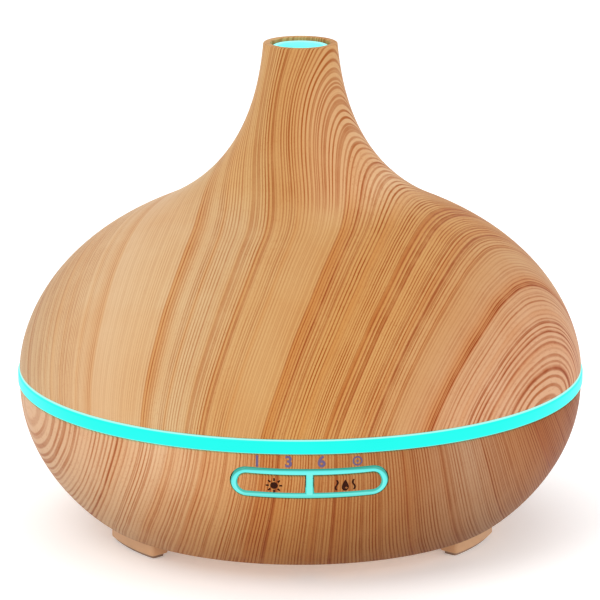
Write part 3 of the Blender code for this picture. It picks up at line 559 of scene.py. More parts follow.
def wood_print(name, block, tones, combed, rings, dark_lines, neck_tones=None):
    """Printed wood grain, as if cut from a solid block: a line lies where a growth layer meets the skin.

    Everything is placed by layer: tones are the ground's colours, combed how strongly it is lined, rings
    the broad bands (place, fade, depth) and dark_lines the thin ones (place, half width, depth).
    neck_tones are the ground's colours up on the neck.
    """
    shader = Shader(name, roughness=0.5, Specular_IOR_Level=0.08)
    place = shader.place()
    height = shader.split(place)[2]
    layer = grain_layer(shader, place, block)
    late = growth_rings(shader, layer, rings)
    comb_depth = along_block(shader, layer, combed)
    line_depth = strongest(shader, [comb_depth, late])
    ground = along_block(shader, layer, tones)
    if neck_tones:
        on_neck = shader.smooth_range(height, *NECK_TONE)
        arches = shader.times(on_neck, shader.smooth_range(layer, *ARCHES))
        line_depth = strongest(shader, [line_depth, arches])
        ground = shader.mix(on_neck, ground, along_block(shader, layer, neck_tones))
        late = shader.times(late, shader.scale_range(on_neck, 0.0, 1.0, 1.0, 0.35))

    # The lines come and go along their length.
    patches = shader.noise(shader.stretch(place, (0.12, 0.12, 0.05)), 1.0, 2.0)
    presence = shader.scale_range(patches, 0.3, 0.6, 0.65, 1.0)
    lines = shader.times(comb_lines(shader, layer), shader.times(presence, line_depth))
    thin_presence = shader.scale_range(patches, 0.3, 0.55, 0.45, 1.0)
    thin = shader.times(thin_lines(shader, layer, dark_lines), thin_presence)
    pores = shader.times(pore_dashes(shader, place, layer), comb_depth)

    # Painted shade: the ground is darkened down the bowl, from the ring to the lower lip.
    low = shader.smooth_range(height, RING_BOTTOM, BASE_BOTTOM)
    ground = shader.mix(low, ground, PAINTED_BOWL_SHADE, "MULTIPLY")
    cloud = shader.noise(shader.stretch(place, (0.05, 0.05, 0.03)), 1.0, 3.0)
    ground = shader.mix(shader.scale_range(cloud, 0.35, 0.7, 0.0, 0.25), ground, LATE_WOOD, "MULTIPLY")
    wood = shader.mix(shader.times(late, 0.6), ground, LATE_WOOD, "MULTIPLY")
    wood = shader.mix(lines, wood, LINE_WOOD, "MULTIPLY")
    wood = shader.mix(shader.times(pores, 0.25), wood, DARK_WOOD, "MULTIPLY")
    wood = shader.mix(thin, wood, DARK_WOOD, "MULTIPLY")
    shader.colour(wood)
    shader.rough(shader.scale_range(lines, 0.0, 1.0, 0.46, 0.56))
    shader.bump(lines, 0.00003, 0.3)
    return shader.material


def cover_wood():
    block = {"y": -0.85, "z": 0.45, "xx": -0.1, "xz": -0.17, "yy": -0.25, "yz": 0.7, "zz": -0.25,
             "neck_turn": -0.6}
    tones = [(-74, srgb(196, 164, 122)), (-45, srgb(210, 176, 134)), (-26, srgb(211, 177, 137)),
             (-12, srgb(209, 173, 129)), (6, srgb(204, 170, 125)), (18, srgb(199, 154, 100)),
             (30, srgb(200, 156, 102)), (44, srgb(197, 147, 86)), (60, srgb(198, 148, 90)),
             (73, srgb(196, 150, 104)), (90, srgb(208, 162, 126))]
    neck_tones = [(-8, srgb(204, 170, 124)), (4, srgb(204, 162, 108)), (12, srgb(199, 158, 105)),
                  (17, srgb(194, 146, 90)), (22, srgb(197, 149, 94)), (30, srgb(207, 163, 117)),
                  (40, srgb(217, 178, 136))]
    combed = [(-74, 0.85), (-40, 0.7), (-26, 0.25), (-8, 0.4), (-3, 0.75), (8, 0.6), (14, 0.85), (21, 0.7),
              (26, 0.4), (33, 0.4), (35, 1.0), (66, 0.95), (72, 0.4), (79, 0.6), (90, 0.9)]
    rings = [(-71.5, 3, 0.7), (-55.5, 2, 0.5), (-51.5, 4, 0.5), (-45.5, 2, 0.4), (-36.5, 3, 0.4),
             (-27.6, -7, 0.55), (-6.6, 6, 1.0), (1.8, 2, 0.7), (9.5, 2, 0.5), (14.5, 3, 0.75),
             (22.3, 2, 0.5), (34.4, 6, 1.0), (45, 3, 0.5), (52.5, 3, 0.8), (62.5, 3, 0.6), (68, 2, 0.5),
             (80.3, -5, 1.0), (85, 2, 0.4), (90.6, 2, 0.5)]
    dark_lines = [(-71, 0.5, 0.4), (-42, 0.4, 0.45), (-4, 0.4, 0.2), (7, 0.4, 0.45), (11, 0.4, 0.45),
                  (16.5, 0.5, 0.4), (38, 0.5, 0.45), (40.5, 0.4, 0.35), (53.3, 0.5, 0.5), (54.8, 0.5, 0.6),
                  (56.4, 0.6, 0.7), (65, 0.6, 0.6), (80, 0.4, 0.6), (87.5, 0.4, 0.4), (89.1, 0.4, 0.6),
                  (91, 0.4, 0.6), (94.2, 0.5, 0.8)]
    return wood_print("cover_wood", block, tones, combed, rings, dark_lines, neck_tones)


def base_wood():
    block = {"y": 0.35, "z": 0.55, "xx": 0.0, "xz": 0.37, "yy": 0.0, "yz": 0.54, "zz": 0.0,
             "neck_turn": 0.0}
    tones = [(-88, srgb(206, 166, 130)), (-68, srgb(214, 176, 138)), (-52, srgb(204, 154, 104)),
             (-36, srgb(194, 139, 82)), (-16, srgb(178, 127, 77)), (0, srgb(169, 118, 75)),
             (20, srgb(175, 136, 104)), (34, srgb(168, 115, 74)), (48, srgb(156, 95, 50)),
             (62, srgb(152, 92, 48))]
    combed = [(-88, 0.9), (-60, 0.75), (-42, 1.0), (0, 1.0), (14, 0.8), (40, 0.8), (60, 1.0)]
    rings = [(-76, 4, 0.4), (-65, 5, 0.45), (-57, 4, 0.4), (-43, 7, 0.75), (-38.5, 4, 0.6), (-28, 3, 0.5),
             (-22.5, 6, 0.5), (-12, 4, 0.4), (-2.5, 3, 0.5), (9, 5, 0.45), (24, 4, 0.4), (45, 8, 0.6)]
    dark_lines = [(-75.5, 0.4, 0.5), (-56.5, 0.4, 0.4), (-42, 0.5, 0.4), (-38, 0.6, 0.6), (-22, 0.4, 0.5),
                  (-2, 0.5, 0.6), (10, 0.4, 0.4), (24.5, 0.4, 0.6), (46, 0.5, 0.6)]
    return wood_print("base_wood", block, tones, combed, rings, dark_lines)


def moulded(name, colour, roughness=0.5, grain=0.9, spread=0.06, depth=0.00002, **sockets):
    """Moulded plastic or rubber: a fine pitted texture and slightly uneven colour."""
    shader = Shader(name, roughness=roughness, **sockets)
    place = shader.place()
    cloud = shader.noise(place, 0.12, 3.0)
    lighter = tuple(min(1.0, c * (1 + spread)) for c in colour)
    darker = tuple(c * (1 - spread) for c in colour)
    shader.colour(shader.mix(shader.scale_range(cloud, 0.3, 0.7), darker, lighter))
    pits = shader.noise(place, grain, 3.0, 0.7)
    shader.rough(shader.scale_range(pits, 0.3, 0.7, roughness - 0.06, roughness + 0.06))
    shader.bump(pits, depth, 0.5)
    return shader.material


def metal(name, colour, roughness=0.3, stretch=(0.3, 0.3, 4.0)):
    """Drawn or machined metal, with fine scratches one way."""
    shader = Shader(name, roughness=roughness, metallic=1.0)
    place = shader.place()
    scratches = shader.noise(shader.stretch(place, stretch), 2.0, 3.0, 0.7)
    shader.colour(shader.mix(scratches, tuple(c * 0.85 for c in colour), colour))
    shader.rough(shader.scale_range(scratches, 0.3, 0.7, roughness - 0.08, roughness + 0.1))
    shader.bump(scratches, 0.00001, 0.4)
    return shader.material


def glowing_band():
    """The lit ring: even cyan, a little paler along both edges, where the light leaks past the shells."""
    shader = Shader("ring_glow", roughness=0.4, Specular_IOR_Level=0.15)
    height = shader.split(shader.place())[2]
    across = shader.scale_range(height, RING_BOTTOM, RING_TOP)
    edge = shader.ramp(across, [(0.0, 1.0), (0.05, 0.0), (0.95, 0.0), (1.0, 1.0)])
    cloud = shader.noise(shader.place(), 0.05, 2.0)
    cyan = shader.mix(cloud, srgb(10, 246, 232), srgb(22, 255, 243))
    shader.colour(srgb(4, 40, 38))
    shader.glow(shader.mix(shader.times(edge, 0.75), cyan, srgb(205, 255, 248)), 1.0)
    return shader.material


def circuit_board(name, mask, trace):
    """A circuit board: tracks under the mask, which jog between lanes, and round tinned pads."""
    shader = Shader(name, roughness=0.35)
    place = shader.place()
    y = shader.split(place)[1]
    jog = shader.noise(shader.stretch(place, (0.25, 0.25, 0.25)), 1.0, 0.0)
    lane = shader.math("ADD", y, shader.math("SNAP", shader.times(jog, 8.0), 1.3))
    wave = shader.math("SINE", shader.times(lane, 2 * math.pi / 1.3))
    tracks = shader.ramp(shader.scale_range(wave, -1.0, 1.0), [(0.62, 0.0), (0.68, 1.0)])
    shown = shader.ramp(shader.noise(place, 0.16, 1.0), [(0.48, 0.0), (0.52, 1.0)])
    tracks = shader.times(tracks, shown)
    spots = shader.node("ShaderNodeTexVoronoi", {"Vector": place, "Scale": 0.28})
    pads = shader.ramp(spots.outputs["Distance"], [(0.16, 1.0), (0.19, 0.0)])
    tone = shader.mix(tracks, mask, trace)
    shader.colour(shader.mix(pads, tone, srgb(206, 206, 200)))
    shader.rough(shader.scale_range(shader.math("MAXIMUM", tracks, pads), 0.0, 1.0, 0.38, 0.22))
    shader.bump(shader.math("MAXIMUM", tracks, pads), 0.00004, 0.5)
    return shader.material


def capacitor_can():
    """An electrolytic capacitor: a dark shrunk sleeve with one pale stripe, and a scored bare top."""
    shader = Shader("capacitor_can", roughness=0.35)
    x, y, z = shader.split(shader.share())
    radius = shader.length(x, y)
    stripe = shader.math("GREATER_THAN", x, 0.44)
    dashes = shader.math("GREATER_THAN", shader.math("SINE", shader.times(z, 40.0)), 0.3)
    sleeve = shader.mix(stripe, srgb(28, 30, 52), srgb(170, 176, 196))
    sleeve = shader.mix(shader.times(stripe, dashes), sleeve, srgb(60, 62, 84))
    bare_disc = shader.math("LESS_THAN", radius, 0.41)
    top = shader.times(shader.math("GREATER_THAN", z, 0.47), bare_disc)
    nearest = shader.math("MINIMUM", shader.absolute(x), shader.absolute(y))
    score = shader.math("LESS_THAN", nearest, 0.03)
    bare = shader.mix(shader.times(score, 0.7), srgb(196, 198, 200), srgb(96, 98, 102))
    shader.colour(shader.mix(top, sleeve, bare))
    shader.feed(shader.surface.inputs["Metallic"], top)
    shader.bump(shader.noise(shader.place(), 1.2, 2.0), 0.00002, 0.4)
    return shader.material


def wound_coil():
    """Enamelled copper turns between the dark flanges of a ferrite drum."""
    shader = Shader("wound_coil", roughness=0.3)
    z = shader.split(shader.share())[2]
    turns = shader.scale_range(shader.math("SINE", shader.times(z, 2 * math.pi * 16)), -1.0, 1.0)
    wire = shader.mix(turns, srgb(92, 38, 16), srgb(196, 104, 52))
    flange = shader.math("GREATER_THAN", shader.absolute(z), 0.38)
    shader.colour(shader.mix(flange, wire, srgb(46, 46, 48)))
    shader.feed(shader.surface.inputs["Metallic"], shader.minus(1.0, flange))
    shader.bump(turns, 0.0001, 0.8)
    return shader.material


def screw_steel():
    """Zinc-plated steel, with a cross recess in the middle of each end, painted dark as painted shade and
    dented by a bump.
    """
    shader = Shader("screw_steel", roughness=0.3, metallic=1.0)
    x, y, z = shader.split(shader.share())
    radius = shader.length(x, y)
    nearest = shader.math("MINIMUM", shader.absolute(x), shader.absolute(y))
    arms = shader.smooth_range(nearest, 0.08, 0.05)
    arms = shader.times(arms, shader.smooth_range(radius, 0.3, 0.26))
    end = shader.math("GREATER_THAN", shader.absolute(z), 0.485)
    recess = shader.times(arms, end)
    scratches = shader.noise(shader.stretch(shader.place(), (0.6, 0.6, 5.0)), 2.0, 3.0, 0.7)
    plate_tone = shader.mix(scratches, srgb(168, 170, 176), srgb(204, 206, 210))
    # Painted shade: the recess is coloured dark where its depth would be shaded.
    shader.colour(shader.mix(recess, plate_tone, srgb(40, 40, 44)))
    shader.rough(shader.scale_range(scratches, 0.3, 0.7, 0.22, 0.42))
    shader.bump(shader.minus(1.0, recess), 0.0003, 0.8)
    return shader.material


def silvered_disc():
    """The piezo disc: pale ceramic with a silvered middle and a thin ring of glue."""
    shader = Shader("silvered_disc", roughness=0.25)
    x, y, _ = shader.split(shader.share())
    radius = shader.length(x, y)
    silver = shader.smooth_range(radius, 0.36, 0.35)
    shader.colour(shader.mix(silver, srgb(214, 206, 186), srgb(206, 208, 212)))
    shader.feed(shader.surface.inputs["Metallic"], silver)
    shader.rough(shader.scale_range(shader.noise(shader.place(), 0.8, 3.0), 0.3, 0.7, 0.2, 0.35))
    return shader.material


MATERIALS = {}


def make_materials():
    MATERIALS.update(
        cover_wood=cover_wood(),
        base_wood=base_wood(),
        ring=glowing_band(),
        tan=moulded("tan_plastic", srgb(206, 160, 118), 0.5),
        inside=moulded("inside_plastic", srgb(214, 176, 136), 0.55),
        rubber=moulded("rubber", srgb(146, 118, 98), 0.8, 1.6, 0.1, 0.00004),
        milky=moulded("milky_plastic", srgb(236, 242, 242), 0.32, 0.5, 0.02, 0.00001),
        black=moulded("black_plastic", srgb(38, 38, 40), 0.5, 1.4, 0.12),
        foam=moulded("foam", srgb(70, 70, 74), 0.95, 2.4, 0.3, 0.0002),
        steel=metal("zinc_steel", srgb(196, 197, 202), 0.3),
        brass=metal("brass", srgb(214, 176, 98), 0.28),
        aluminium=metal("aluminium", srgb(206, 208, 212), 0.36),
        ceramic=silvered_disc(),
        screw=screw_steel(),
        can=capacitor_can(),
        coil=wound_coil(),
        board=circuit_board("green_board", srgb(16, 84, 44), srgb(34, 122, 66)),
        white_board=circuit_board("white_board", srgb(232, 232, 228), srgb(214, 214, 206)),
        red=moulded("red_insulation", srgb(176, 36, 28), 0.45),
        yellow=moulded("yellow_insulation", srgb(206, 172, 44), 0.45),
        grey=moulded("grey_insulation", srgb(120, 122, 126), 0.45),
        blue=moulded("blue_insulation", srgb(44, 84, 156), 0.45),
        print=moulded("button_print", srgb(52, 22, 12), 0.7, Specular_IOR_Level=0.05),
        marks=moulded("timer_print", srgb(92, 74, 112), 0.55),
        bezel=bezel_glow(),
        # A darker glow on the walls of the frame and the divider: painted shade in the gaps round the caps.
        bezel_side=glowing("bezel_side_glow", srgb(14, 92, 84), srgb(24, 120, 108)),
        divider=glowing("divider_glow", srgb(96, 236, 226), srgb(124, 244, 234)),
        liner=painted_liner_light(),
    )


def bezel_glow():
    """The lit frame: turquoise, paler towards its inner edge and greener along its foot."""
    shader = Shader("bezel_glow", roughness=0.25)
    x, _, z = shader.split(shader.place())
    straight = (BEZEL_WIDTH - BEZEL_HEIGHT) / 2
    beyond = shader.math("MAXIMUM", shader.minus(shader.absolute(x), straight), 0.0)
    up = shader.times(shader.minus(z, PANEL_HEIGHT), 1 / math.cos(PANEL_TILT))
    away = shader.length(beyond, up)
    across = shader.scale_range(away, BEZEL_HEIGHT / 2 - BEZEL_BORDER, BEZEL_HEIGHT / 2)
    tone = shader.ramp(across, [(0.0, srgb(60, 190, 176)), (0.15, srgb(112, 242, 236)),
                                (0.8, srgb(84, 234, 230)), (1.0, srgb(40, 160, 142))])
    foot = shader.scale_range(up, -2.6, -4.4, 0.0, 0.5)
    shader.colour(srgb(20, 70, 66))
    shader.glow(shader.mix(foot, tone, srgb(70, 176, 150)), 0.95)
    return shader.material


def glowing(name, dark, light):
    """Clear plastic lit from behind, a little uneven."""
    shader = Shader(name, roughness=0.3)
    cloud = shader.noise(shader.place(), 0.3, 2.0)
    shader.colour(srgb(16, 60, 56))
    shader.glow(shader.mix(cloud, dark, light), 0.95)
    return shader.material


def painted_liner_light():
    """The translucent liner, with painted cyan light inside its chimney and fainter painted light below."""
    shader = Shader("painted_liner_light", roughness=0.35)
    height = shader.split(shader.place())[2]
    up = shader.scale_range(height, 60.0, HEIGHT)
    cloud = shader.noise(shader.place(), 0.15, 2.0)
    # Painted light: the milky tone turns cyan towards the top.
    milky = shader.ramp(up, [(0.0, srgb(214, 228, 228)), (0.5, srgb(190, 222, 222)),
                             (1.0, srgb(120, 200, 198))])
    shader.colour(shader.mix(shader.times(cloud, 0.3), milky, srgb(236, 244, 244)))
    glow = shader.ramp(up, [(0.0, srgb(4, 22, 21)), (0.4, srgb(8, 50, 48)), (0.8, srgb(16, 150, 144)),
                            (1.0, srgb(60, 214, 206))])
    shader.glow(glow, 0.8)
    return shader.material


# --- Shells -----------------------------------------------------------------------------------------
def make_cover():
    outer = cover_outline()
    inner = offset(outer, -WALL)
    edge = RING_TOP + GAP
    corners = [(*outer[0], 0.5), *outer[1:-1], (*outer[-1], 0.35)]
    corners += [(BODY_RADIUS - WALL, edge, 0.35), *reversed(inner[1:-1]), (*inner[0][:1], HEIGHT, 0.5)]

    def paint(radius, height):
        """Wood print outside and round the mouth's rim, plain plastic inside."""
        shown = [r for r, z in outer if abs(z - height) < 1.5]
        return 0 if radius > min(shown, default=0) - 1.2 or height > HEIGHT - 0.6 else 1

    mesh = lathe("cover_shell", filleted(corners), paint=paint)
    piece("cover_shell", mesh, [MATERIALS["cover_wood"], MATERIALS["inside"]], "top_cover")


def make_liner():
    funnel = bezier((CHIMNEY_RADIUS, 116.0), (CHIMNEY_RADIUS, 100.0), (20.0, 91.0), (42.0, 83.0), 20)
    dome = bezier((42.0, 83.0), (62.0, 75.6), (SKIRT_RADIUS, 66.0), (SKIRT_RADIUS, 53.0), 20)
    outer = [(CHIMNEY_RADIUS, HEIGHT - 1.0), *funnel, *dome[1:], (SKIRT_RADIUS, SKIRT_BOTTOM)]
    inner = offset(outer, -LINER_WALL)
    corners = [(*outer[0], 0.4), *outer[1:-1], (*outer[-1], 0.4)]
    corners += [(inner[-1][0], SKIRT_BOTTOM, 0.4), *reversed(inner[1:-1]), (inner[0][0], HEIGHT - 1.0, 0.4)]
    mesh = lathe("liner", filleted(corners), 192)
    tabs = []
    for i in range(6):
        tab = box_mesh("tab", (SKIRT_RADIUS - 1.0, -TAB_HALF_WIDTH, TAB_BOTTOM),
                       (TAB_REACH, TAB_HALF_WIDTH, TAB_TOP))
        tab.transform(Matrix.Rotation(math.radians(60 * i + 30), 4, "Z"))
        tabs.append(tab)
    piece("liner", carve(mesh, tabs, "UNION"), [MATERIALS["liner"]], "inner_cover")


def make_ring():
    corners = [
        (BODY_RADIUS, RING_TOP, 0.1), (RING_RADIUS, RING_TOP - 0.5, 0.3),
        (RING_RADIUS, RING_BOTTOM + 0.5, 0.3), (BODY_RADIUS, RING_BOTTOM, 0.1),
        (RING_INNER, RING_BOTTOM), (RING_INNER, FLANGE_BOTTOM - GAP),
        (FLANGE_RADIUS + GAP, FLANGE_BOTTOM - GAP), (FLANGE_RADIUS + GAP, RING_TOP),
    ]
    piece("glow_ring", lathe("glow_ring", filleted(corners)), [MATERIALS["ring"]], "light_ring")


def make_base():
    outer = bowl_outline()
    inner = [p for p in offset(outer, -WALL) if p[1] > LEDGE_TOP + 0.5]
    lip = BASE_BOTTOM_RADIUS - 0.6
    corners = [(*outer[0], 0.35), *outer[1:-1], (*outer[-1], 0.3), (lip, BASE_BOTTOM),
               (lip, LEDGE_BOTTOM), (LEDGE_INNER, LEDGE_BOTTOM), (LEDGE_INNER, LEDGE_TOP),
               (LEDGE_OUTER, LEDGE_TOP), *reversed(inner[1:]), (BODY_RADIUS - WALL, outer[0][1], 0.35)]

    def paint(radius, height):
        """Wood print outside, plain plastic inside."""
        shown = [r for r, z in outer if abs(z - height) < 0.8]
        return 0 if radius > min(shown, default=0) - 0.7 else 1

    shell = lathe("base_bowl", filleted(corners), paint=paint)
    window = plate("window", stadium(BEZEL_WIDTH + 2 * GAP, BEZEL_HEIGHT + 2 * GAP), -12.0, 8.0)
    window.transform(panel_matrix())
    boss = rod_mesh("boss", BOSS_RADIUS, (0, SOCKET_FACE - 1.4, SOCKET_HEIGHT), (0, 82, SOCKET_HEIGHT), 48)
    skin = offset(outer, -0.8)
    boss = carve(boss, [lathe("solid", [(0.0, skin[0][1]), *skin, (0.0, skin[-1][1])], 96)], "INTERSECT")
    shell = carve(shell, [boss], "UNION")
    beyond = (0, 95, SOCKET_HEIGHT)
    recess = rod_mesh("recess", RECESS_RADIUS, (0, SOCKET_FACE, SOCKET_HEIGHT), beyond, 48)
    hole = rod_mesh("hole", SOCKET_RADIUS, (0, 58, SOCKET_HEIGHT), beyond, 48)
    shell = carve(shell, [window, recess, hole])
    piece("base_bowl", shell, [MATERIALS["base_wood"], MATERIALS["inside"]], "base_shell")


def make_bottom():
    inside = BASE_BOTTOM + 2.0
    radius = BASE_BOTTOM_RADIUS - 1.0
    disc = filleted([(0.0, BASE_BOTTOM), (radius, BASE_BOTTOM, 0.4), (radius, inside, 0.4), (0.0, inside)])
    mesh = lathe("bottom_plate", disc, 144)
    feet, pockets = [], []
    for angle in FOOT_ANGLES:
        half = FOOT_HALF_ANGLE
        outline = ring_sector(FOOT_INNER, FOOT_OUTER, angle - half, angle + half, 14, 1.2)
        feet.append(plate("foot", outline, FOOT_BOTTOM, BASE_BOTTOM + 1.0, bevel=0.35))
        shrink = math.degrees((PAD_INSET - GAP) / FOOT_OUTER)
        pocket = ring_sector(FOOT_INNER + PAD_INSET - GAP, FOOT_OUTER - PAD_INSET + GAP,
                             angle - half + shrink, angle + half - shrink, 14, 0.8)
        pockets.append(plate("pocket", pocket, FOOT_BOTTOM - 1.0, PAD_TOP + GAP))
    mesh = carve(mesh, feet, "UNION")
    slots = []
    for k in range(-3, 4):
        half = math.sqrt(VENT_RADIUS**2 - (VENT_PITCH * k) ** 2)
        slot = stadium(2 * half, VENT_WIDTH, (0.0, FAN_Y + VENT_PITCH * k), 6)
        slots.append(plate("slot", slot, BASE_BOTTOM - 2.0, inside + 2.0))
    for angle in BASE_SCREW_ANGLES:
        x, y = polar(BASE_SCREW_CIRCLE, angle)
        low, high = BASE_BOTTOM - 0.1, inside + 0.1
        seat = lathe("seat", [(0.0, low), (SEAT_RADIUS, low), (SCREW_HOLE_RADIUS, high), (0.0, high)], 32)
        seat.transform(Matrix.Translation((x * MM, y * MM, 0)))
        slots.append(seat)
    mesh = carve(mesh, pockets + slots)
    piece("bottom_plate", mesh, [MATERIALS["tan"]], "bottom_cover")
    for i, angle in enumerate(FOOT_ANGLES, 1):
        half = FOOT_HALF_ANGLE - math.degrees(PAD_INSET / FOOT_OUTER)
        near, far = FOOT_INNER + PAD_INSET, FOOT_OUTER - PAD_INSET
        outline = ring_sector(near, far, angle - half, angle + half, 14, 0.8)
        pad = plate(f"rubber_foot_{i}", outline, 0.0, PAD_TOP, bevel=0.25)
        piece(f"rubber_foot_{i}", pad, [MATERIALS["rubber"]], f"foot_pad_{i}")


# --- Buttons ----------------------------------------------------------------------------------------
def panel_matrix():
    """From a flat drawing, X across, Y up the bowl and Z out of it, to its place on the bowl."""
    return Matrix.Translation((0.0, -PANEL_RADIUS * MM, PANEL_HEIGHT * MM)) @ Matrix.Rotation(
        math.radians(90) + PANEL_TILT, 4, "X"
    )


def bowl_radius(height, outline):
    for (r0, z0), (r1, z1) in zip(outline, outline[1:]):
        if z1 <= height <= z0:
            return r0 + (r1 - r0) * (height - z0) / (z1 - z0)
    return outline[0][0] if height > outline[0][1] else outline[-1][0]


def on_bowl(across, up, out, outline):
    """The point on the bowl, in millimetres, that this point of the flat drawing stands over."""
    normal = Vector((0.0, -math.cos(PANEL_TILT), -math.sin(PANEL_TILT)))
    upward = Vector((0.0, -math.sin(PANEL_TILT), math.cos(PANEL_TILT)))
    start = Vector((across, -PANEL_RADIUS, PANEL_HEIGHT)) + upward * up
    low, high = -30.0, 10.0
    for _ in range(26):
        middle = (low + high) / 2
        point = start + normal * middle
        if math.hypot(point.x, point.y) < bowl_radius(point.z, outline):
            low = middle
        else:
            high = middle
    surface = start + normal * low
    outward = Vector((surface.x, surface.y, 0.0)).normalized() * math.cos(PANEL_TILT)
    outward.z = -math.sin(PANEL_TILT)
    return surface + outward * out


def bent_mesh(name, build, outline):
    """A mesh filled flat by build(bm) and moved onto the bowl."""
    mesh = new_mesh(name, build)
    for vertex in mesh.vertices:
        x, y, z = vertex.co / MM
        vertex.co = on_bowl(x, y, z, outline) * MM
    mesh.update()
    return mesh


def strip(bm, a, b, slots=lambda i: 0):
    """Faces between two closed rows of vertices. slots(i) picks the material slot of the one at i."""
    for i in range(len(a)):
        k = (i + 1) % len(a)
        face = bm.faces.new((a[i], a[k], b[k], b[i]))
        face.material_index = slots(i)


def subdivided(points):
    """A closed loop with its long sides split, so that it can bend onto the bowl."""
    finer = []
    for a, b in zip(points, points[1:] + points[:1]):
        steps = max(1, round(math.dist(a, b) / BEND_STEP))
        for i in range(steps):
            t = i / steps
            finer.append((a[0] + (b[0] - a[0]) * t, a[1] + (b[1] - a[1]) * t))
    return finer


def button_loop(side, inset):
    """The left (-1) or right (+1) button's outline, a slot shape cut off straight at the divider."""
    far = BEZEL_WIDTH / 2 - BEZEL_BORDER - inset
    near = DIVIDER / 2 + inset
    half = BEZEL_HEIGHT / 2 - BEZEL_BORDER - inset
    end = far - half
    points = []
    for k in range(21):
        angle = -math.pi / 2 + math.pi * k / 20
        points.append((end + half * math.cos(angle), half * math.sin(angle)))
    quarter = [math.pi / 2 * k / 6 for k in range(7)]
    centre, height = near + BUTTON_CORNER, half - BUTTON_CORNER
    for angle in quarter:
        points.append((centre - BUTTON_CORNER * math.sin(angle), height + BUTTON_CORNER * math.cos(angle)))
    for angle in quarter:
        points.append((centre - BUTTON_CORNER * math.cos(angle), -height - BUTTON_CORNER * math.sin(angle)))
    return [(side * x, y) for x, y in subdivided(points)]


def pill_loop(width, height):
    return subdivided(stadium(width, height, steps=24))


def cap_mesh(name, side, outline):
    """A button cap: walls, a rounded edge and a face that follows the bowl."""
    loop = button_loop(side, GAP)
    half = BEZEL_HEIGHT / 2 - BEZEL_BORDER - GAP
    ends = sorted((abs(x) for x, y in loop))
    near, far = ends[0] + half * 0.9, ends[-1] - half

    def build(bm):
        top = CAP_HEIGHT
        layers = [(1.0, -BUTTON_DEPTH), (1.0, top - 0.6), (0.985, top - 0.35), (0.95, top - 0.15),
                  (0.88, top - 0.05), (0.7, top), (0.4, top), (0.0, top)]
        rows = []
        for scale, height in layers:
            row = []
            for x, y in loop:
                middle = side * min(max(abs(x), near), far)
                row.append(bm.verts.new((middle + (x - middle) * scale, y * scale, height)))
            rows.append(row)
        for a, b in zip(rows, rows[1:]):
            strip(bm, a, b)

    return bent_mesh(name, build, outline)


def band_mesh(name, outer, inner, top, outline):
    """A closed band between two loops with the same number of points, rounded on top."""

    def build(bm):
        rings = []
        for share, height in ((0.0, -BEZEL_DEPTH), (0.0, top - 0.25), (0.12, top - 0.06), (0.3, top),
                              (0.7, top), (0.88, top - 0.06), (1.0, top - 0.25), (1.0, -BEZEL_DEPTH)):
            rings.append([
                bm.verts.new((a[0] + (b[0] - a[0]) * share, a[1] + (b[1] - a[1]) * share, height))
                for a, b in zip(outer, inner)
            ])
        for row, (a, b) in enumerate(zip(rings, rings[1:] + rings[:1])):
            # The walls take the second slot, a darker glow that is painted shade in the gaps.
            slot = 0 if 1 <= row <= 5 else 1
            strip(bm, a, b, lambda i: slot)

    return bent_mesh(name, build, outline)


def bar_mesh(name, outline):
    """The divider between the two buttons."""
    half_width, reach, top = DIVIDER / 2, BEZEL_HEIGHT / 2 - BEZEL_BORDER + 0.4, 0.27

    def build(bm):
        shoulder, crown = top - 0.25, half_width - 0.2
        section = [(-half_width, -BEZEL_DEPTH), (-half_width, shoulder), (-crown, top), (crown, top),
                   (half_width, shoulder), (half_width, -BEZEL_DEPTH)]
        rows = []
        for k in range(9):
            y = -reach + 2 * reach * k / 8
            rows.append([bm.verts.new((x, y, z)) for x, z in section])
        for a, b in zip(rows, rows[1:]):
            # The divider's walls take the second slot, a darker glow that is painted shade in the gaps.
            strip(bm, a, b, lambda i: 0 if 1 <= i <= 3 else 1)
        bm.faces.new(rows[0])
        bm.faces.new(rows[-1])

    return bent_mesh(name, build, outline)


def make_buttons():
    outline = bowl_outline(160)
    outer = pill_loop(BEZEL_WIDTH, BEZEL_HEIGHT)
    half = BEZEL_HEIGHT / 2
    reach = (BEZEL_WIDTH - BEZEL_HEIGHT) / 2
    scale = (half - BEZEL_BORDER) / half
    inner = []
    for x, y in outer:
        middle = min(max(x, -reach), reach)
        inner.append((middle + (x - middle) * scale, y * scale))
    # The band's walls glow darker: painted shade in the gaps round the caps.
    finishes = [MATERIALS["bezel"], MATERIALS["bezel_side"]]
    piece("bezel_band", band_mesh("bezel_band", outer, inner, 0.3, outline), finishes, "button_bezel")
    finishes = [MATERIALS["divider"], MATERIALS["bezel_side"]]
    divider = piece("bezel_divider", bar_mesh("bezel_divider", outline), finishes, body="base")
    for name, side, node in (("light_cap", -1, "light_button"), ("mist_cap", 1, "mist_button")):
        piece(name, cap_mesh(name, side, outline), [MATERIALS["base_wood"]], node)


# --- Printed marks ----------------------------------------------------------------------------------
def numeral(text, size, middle):
    """A numeral as flat ink, centred on middle."""
    curve = bpy.data.curves.new("numeral", "FONT")
    curve.body = text
    curve.size = size * MM
    curve.align_x, curve.align_y = "CENTER", "CENTER"
    curve.extrude = PRINT / 2 * MM
    curve.offset = 0.12 * MM
    curve.resolution_u = 6
    obj = in_scene("numeral", curve)
    obj.location = (middle[0] * MM, middle[1] * MM, 0.0)
    return baked("numeral", obj)


def ink(outline, holes=()):
    return plate("ink", outline, -PRINT / 2, PRINT / 2, holes)


def joined(name, meshes):
    """One mesh of several."""
    bm = bmesh.new()
    for mesh in meshes:
        bm.from_mesh(mesh)
    result = bpy.data.meshes.new(name)
    bm.to_mesh(result)
    bm.free()
    return result


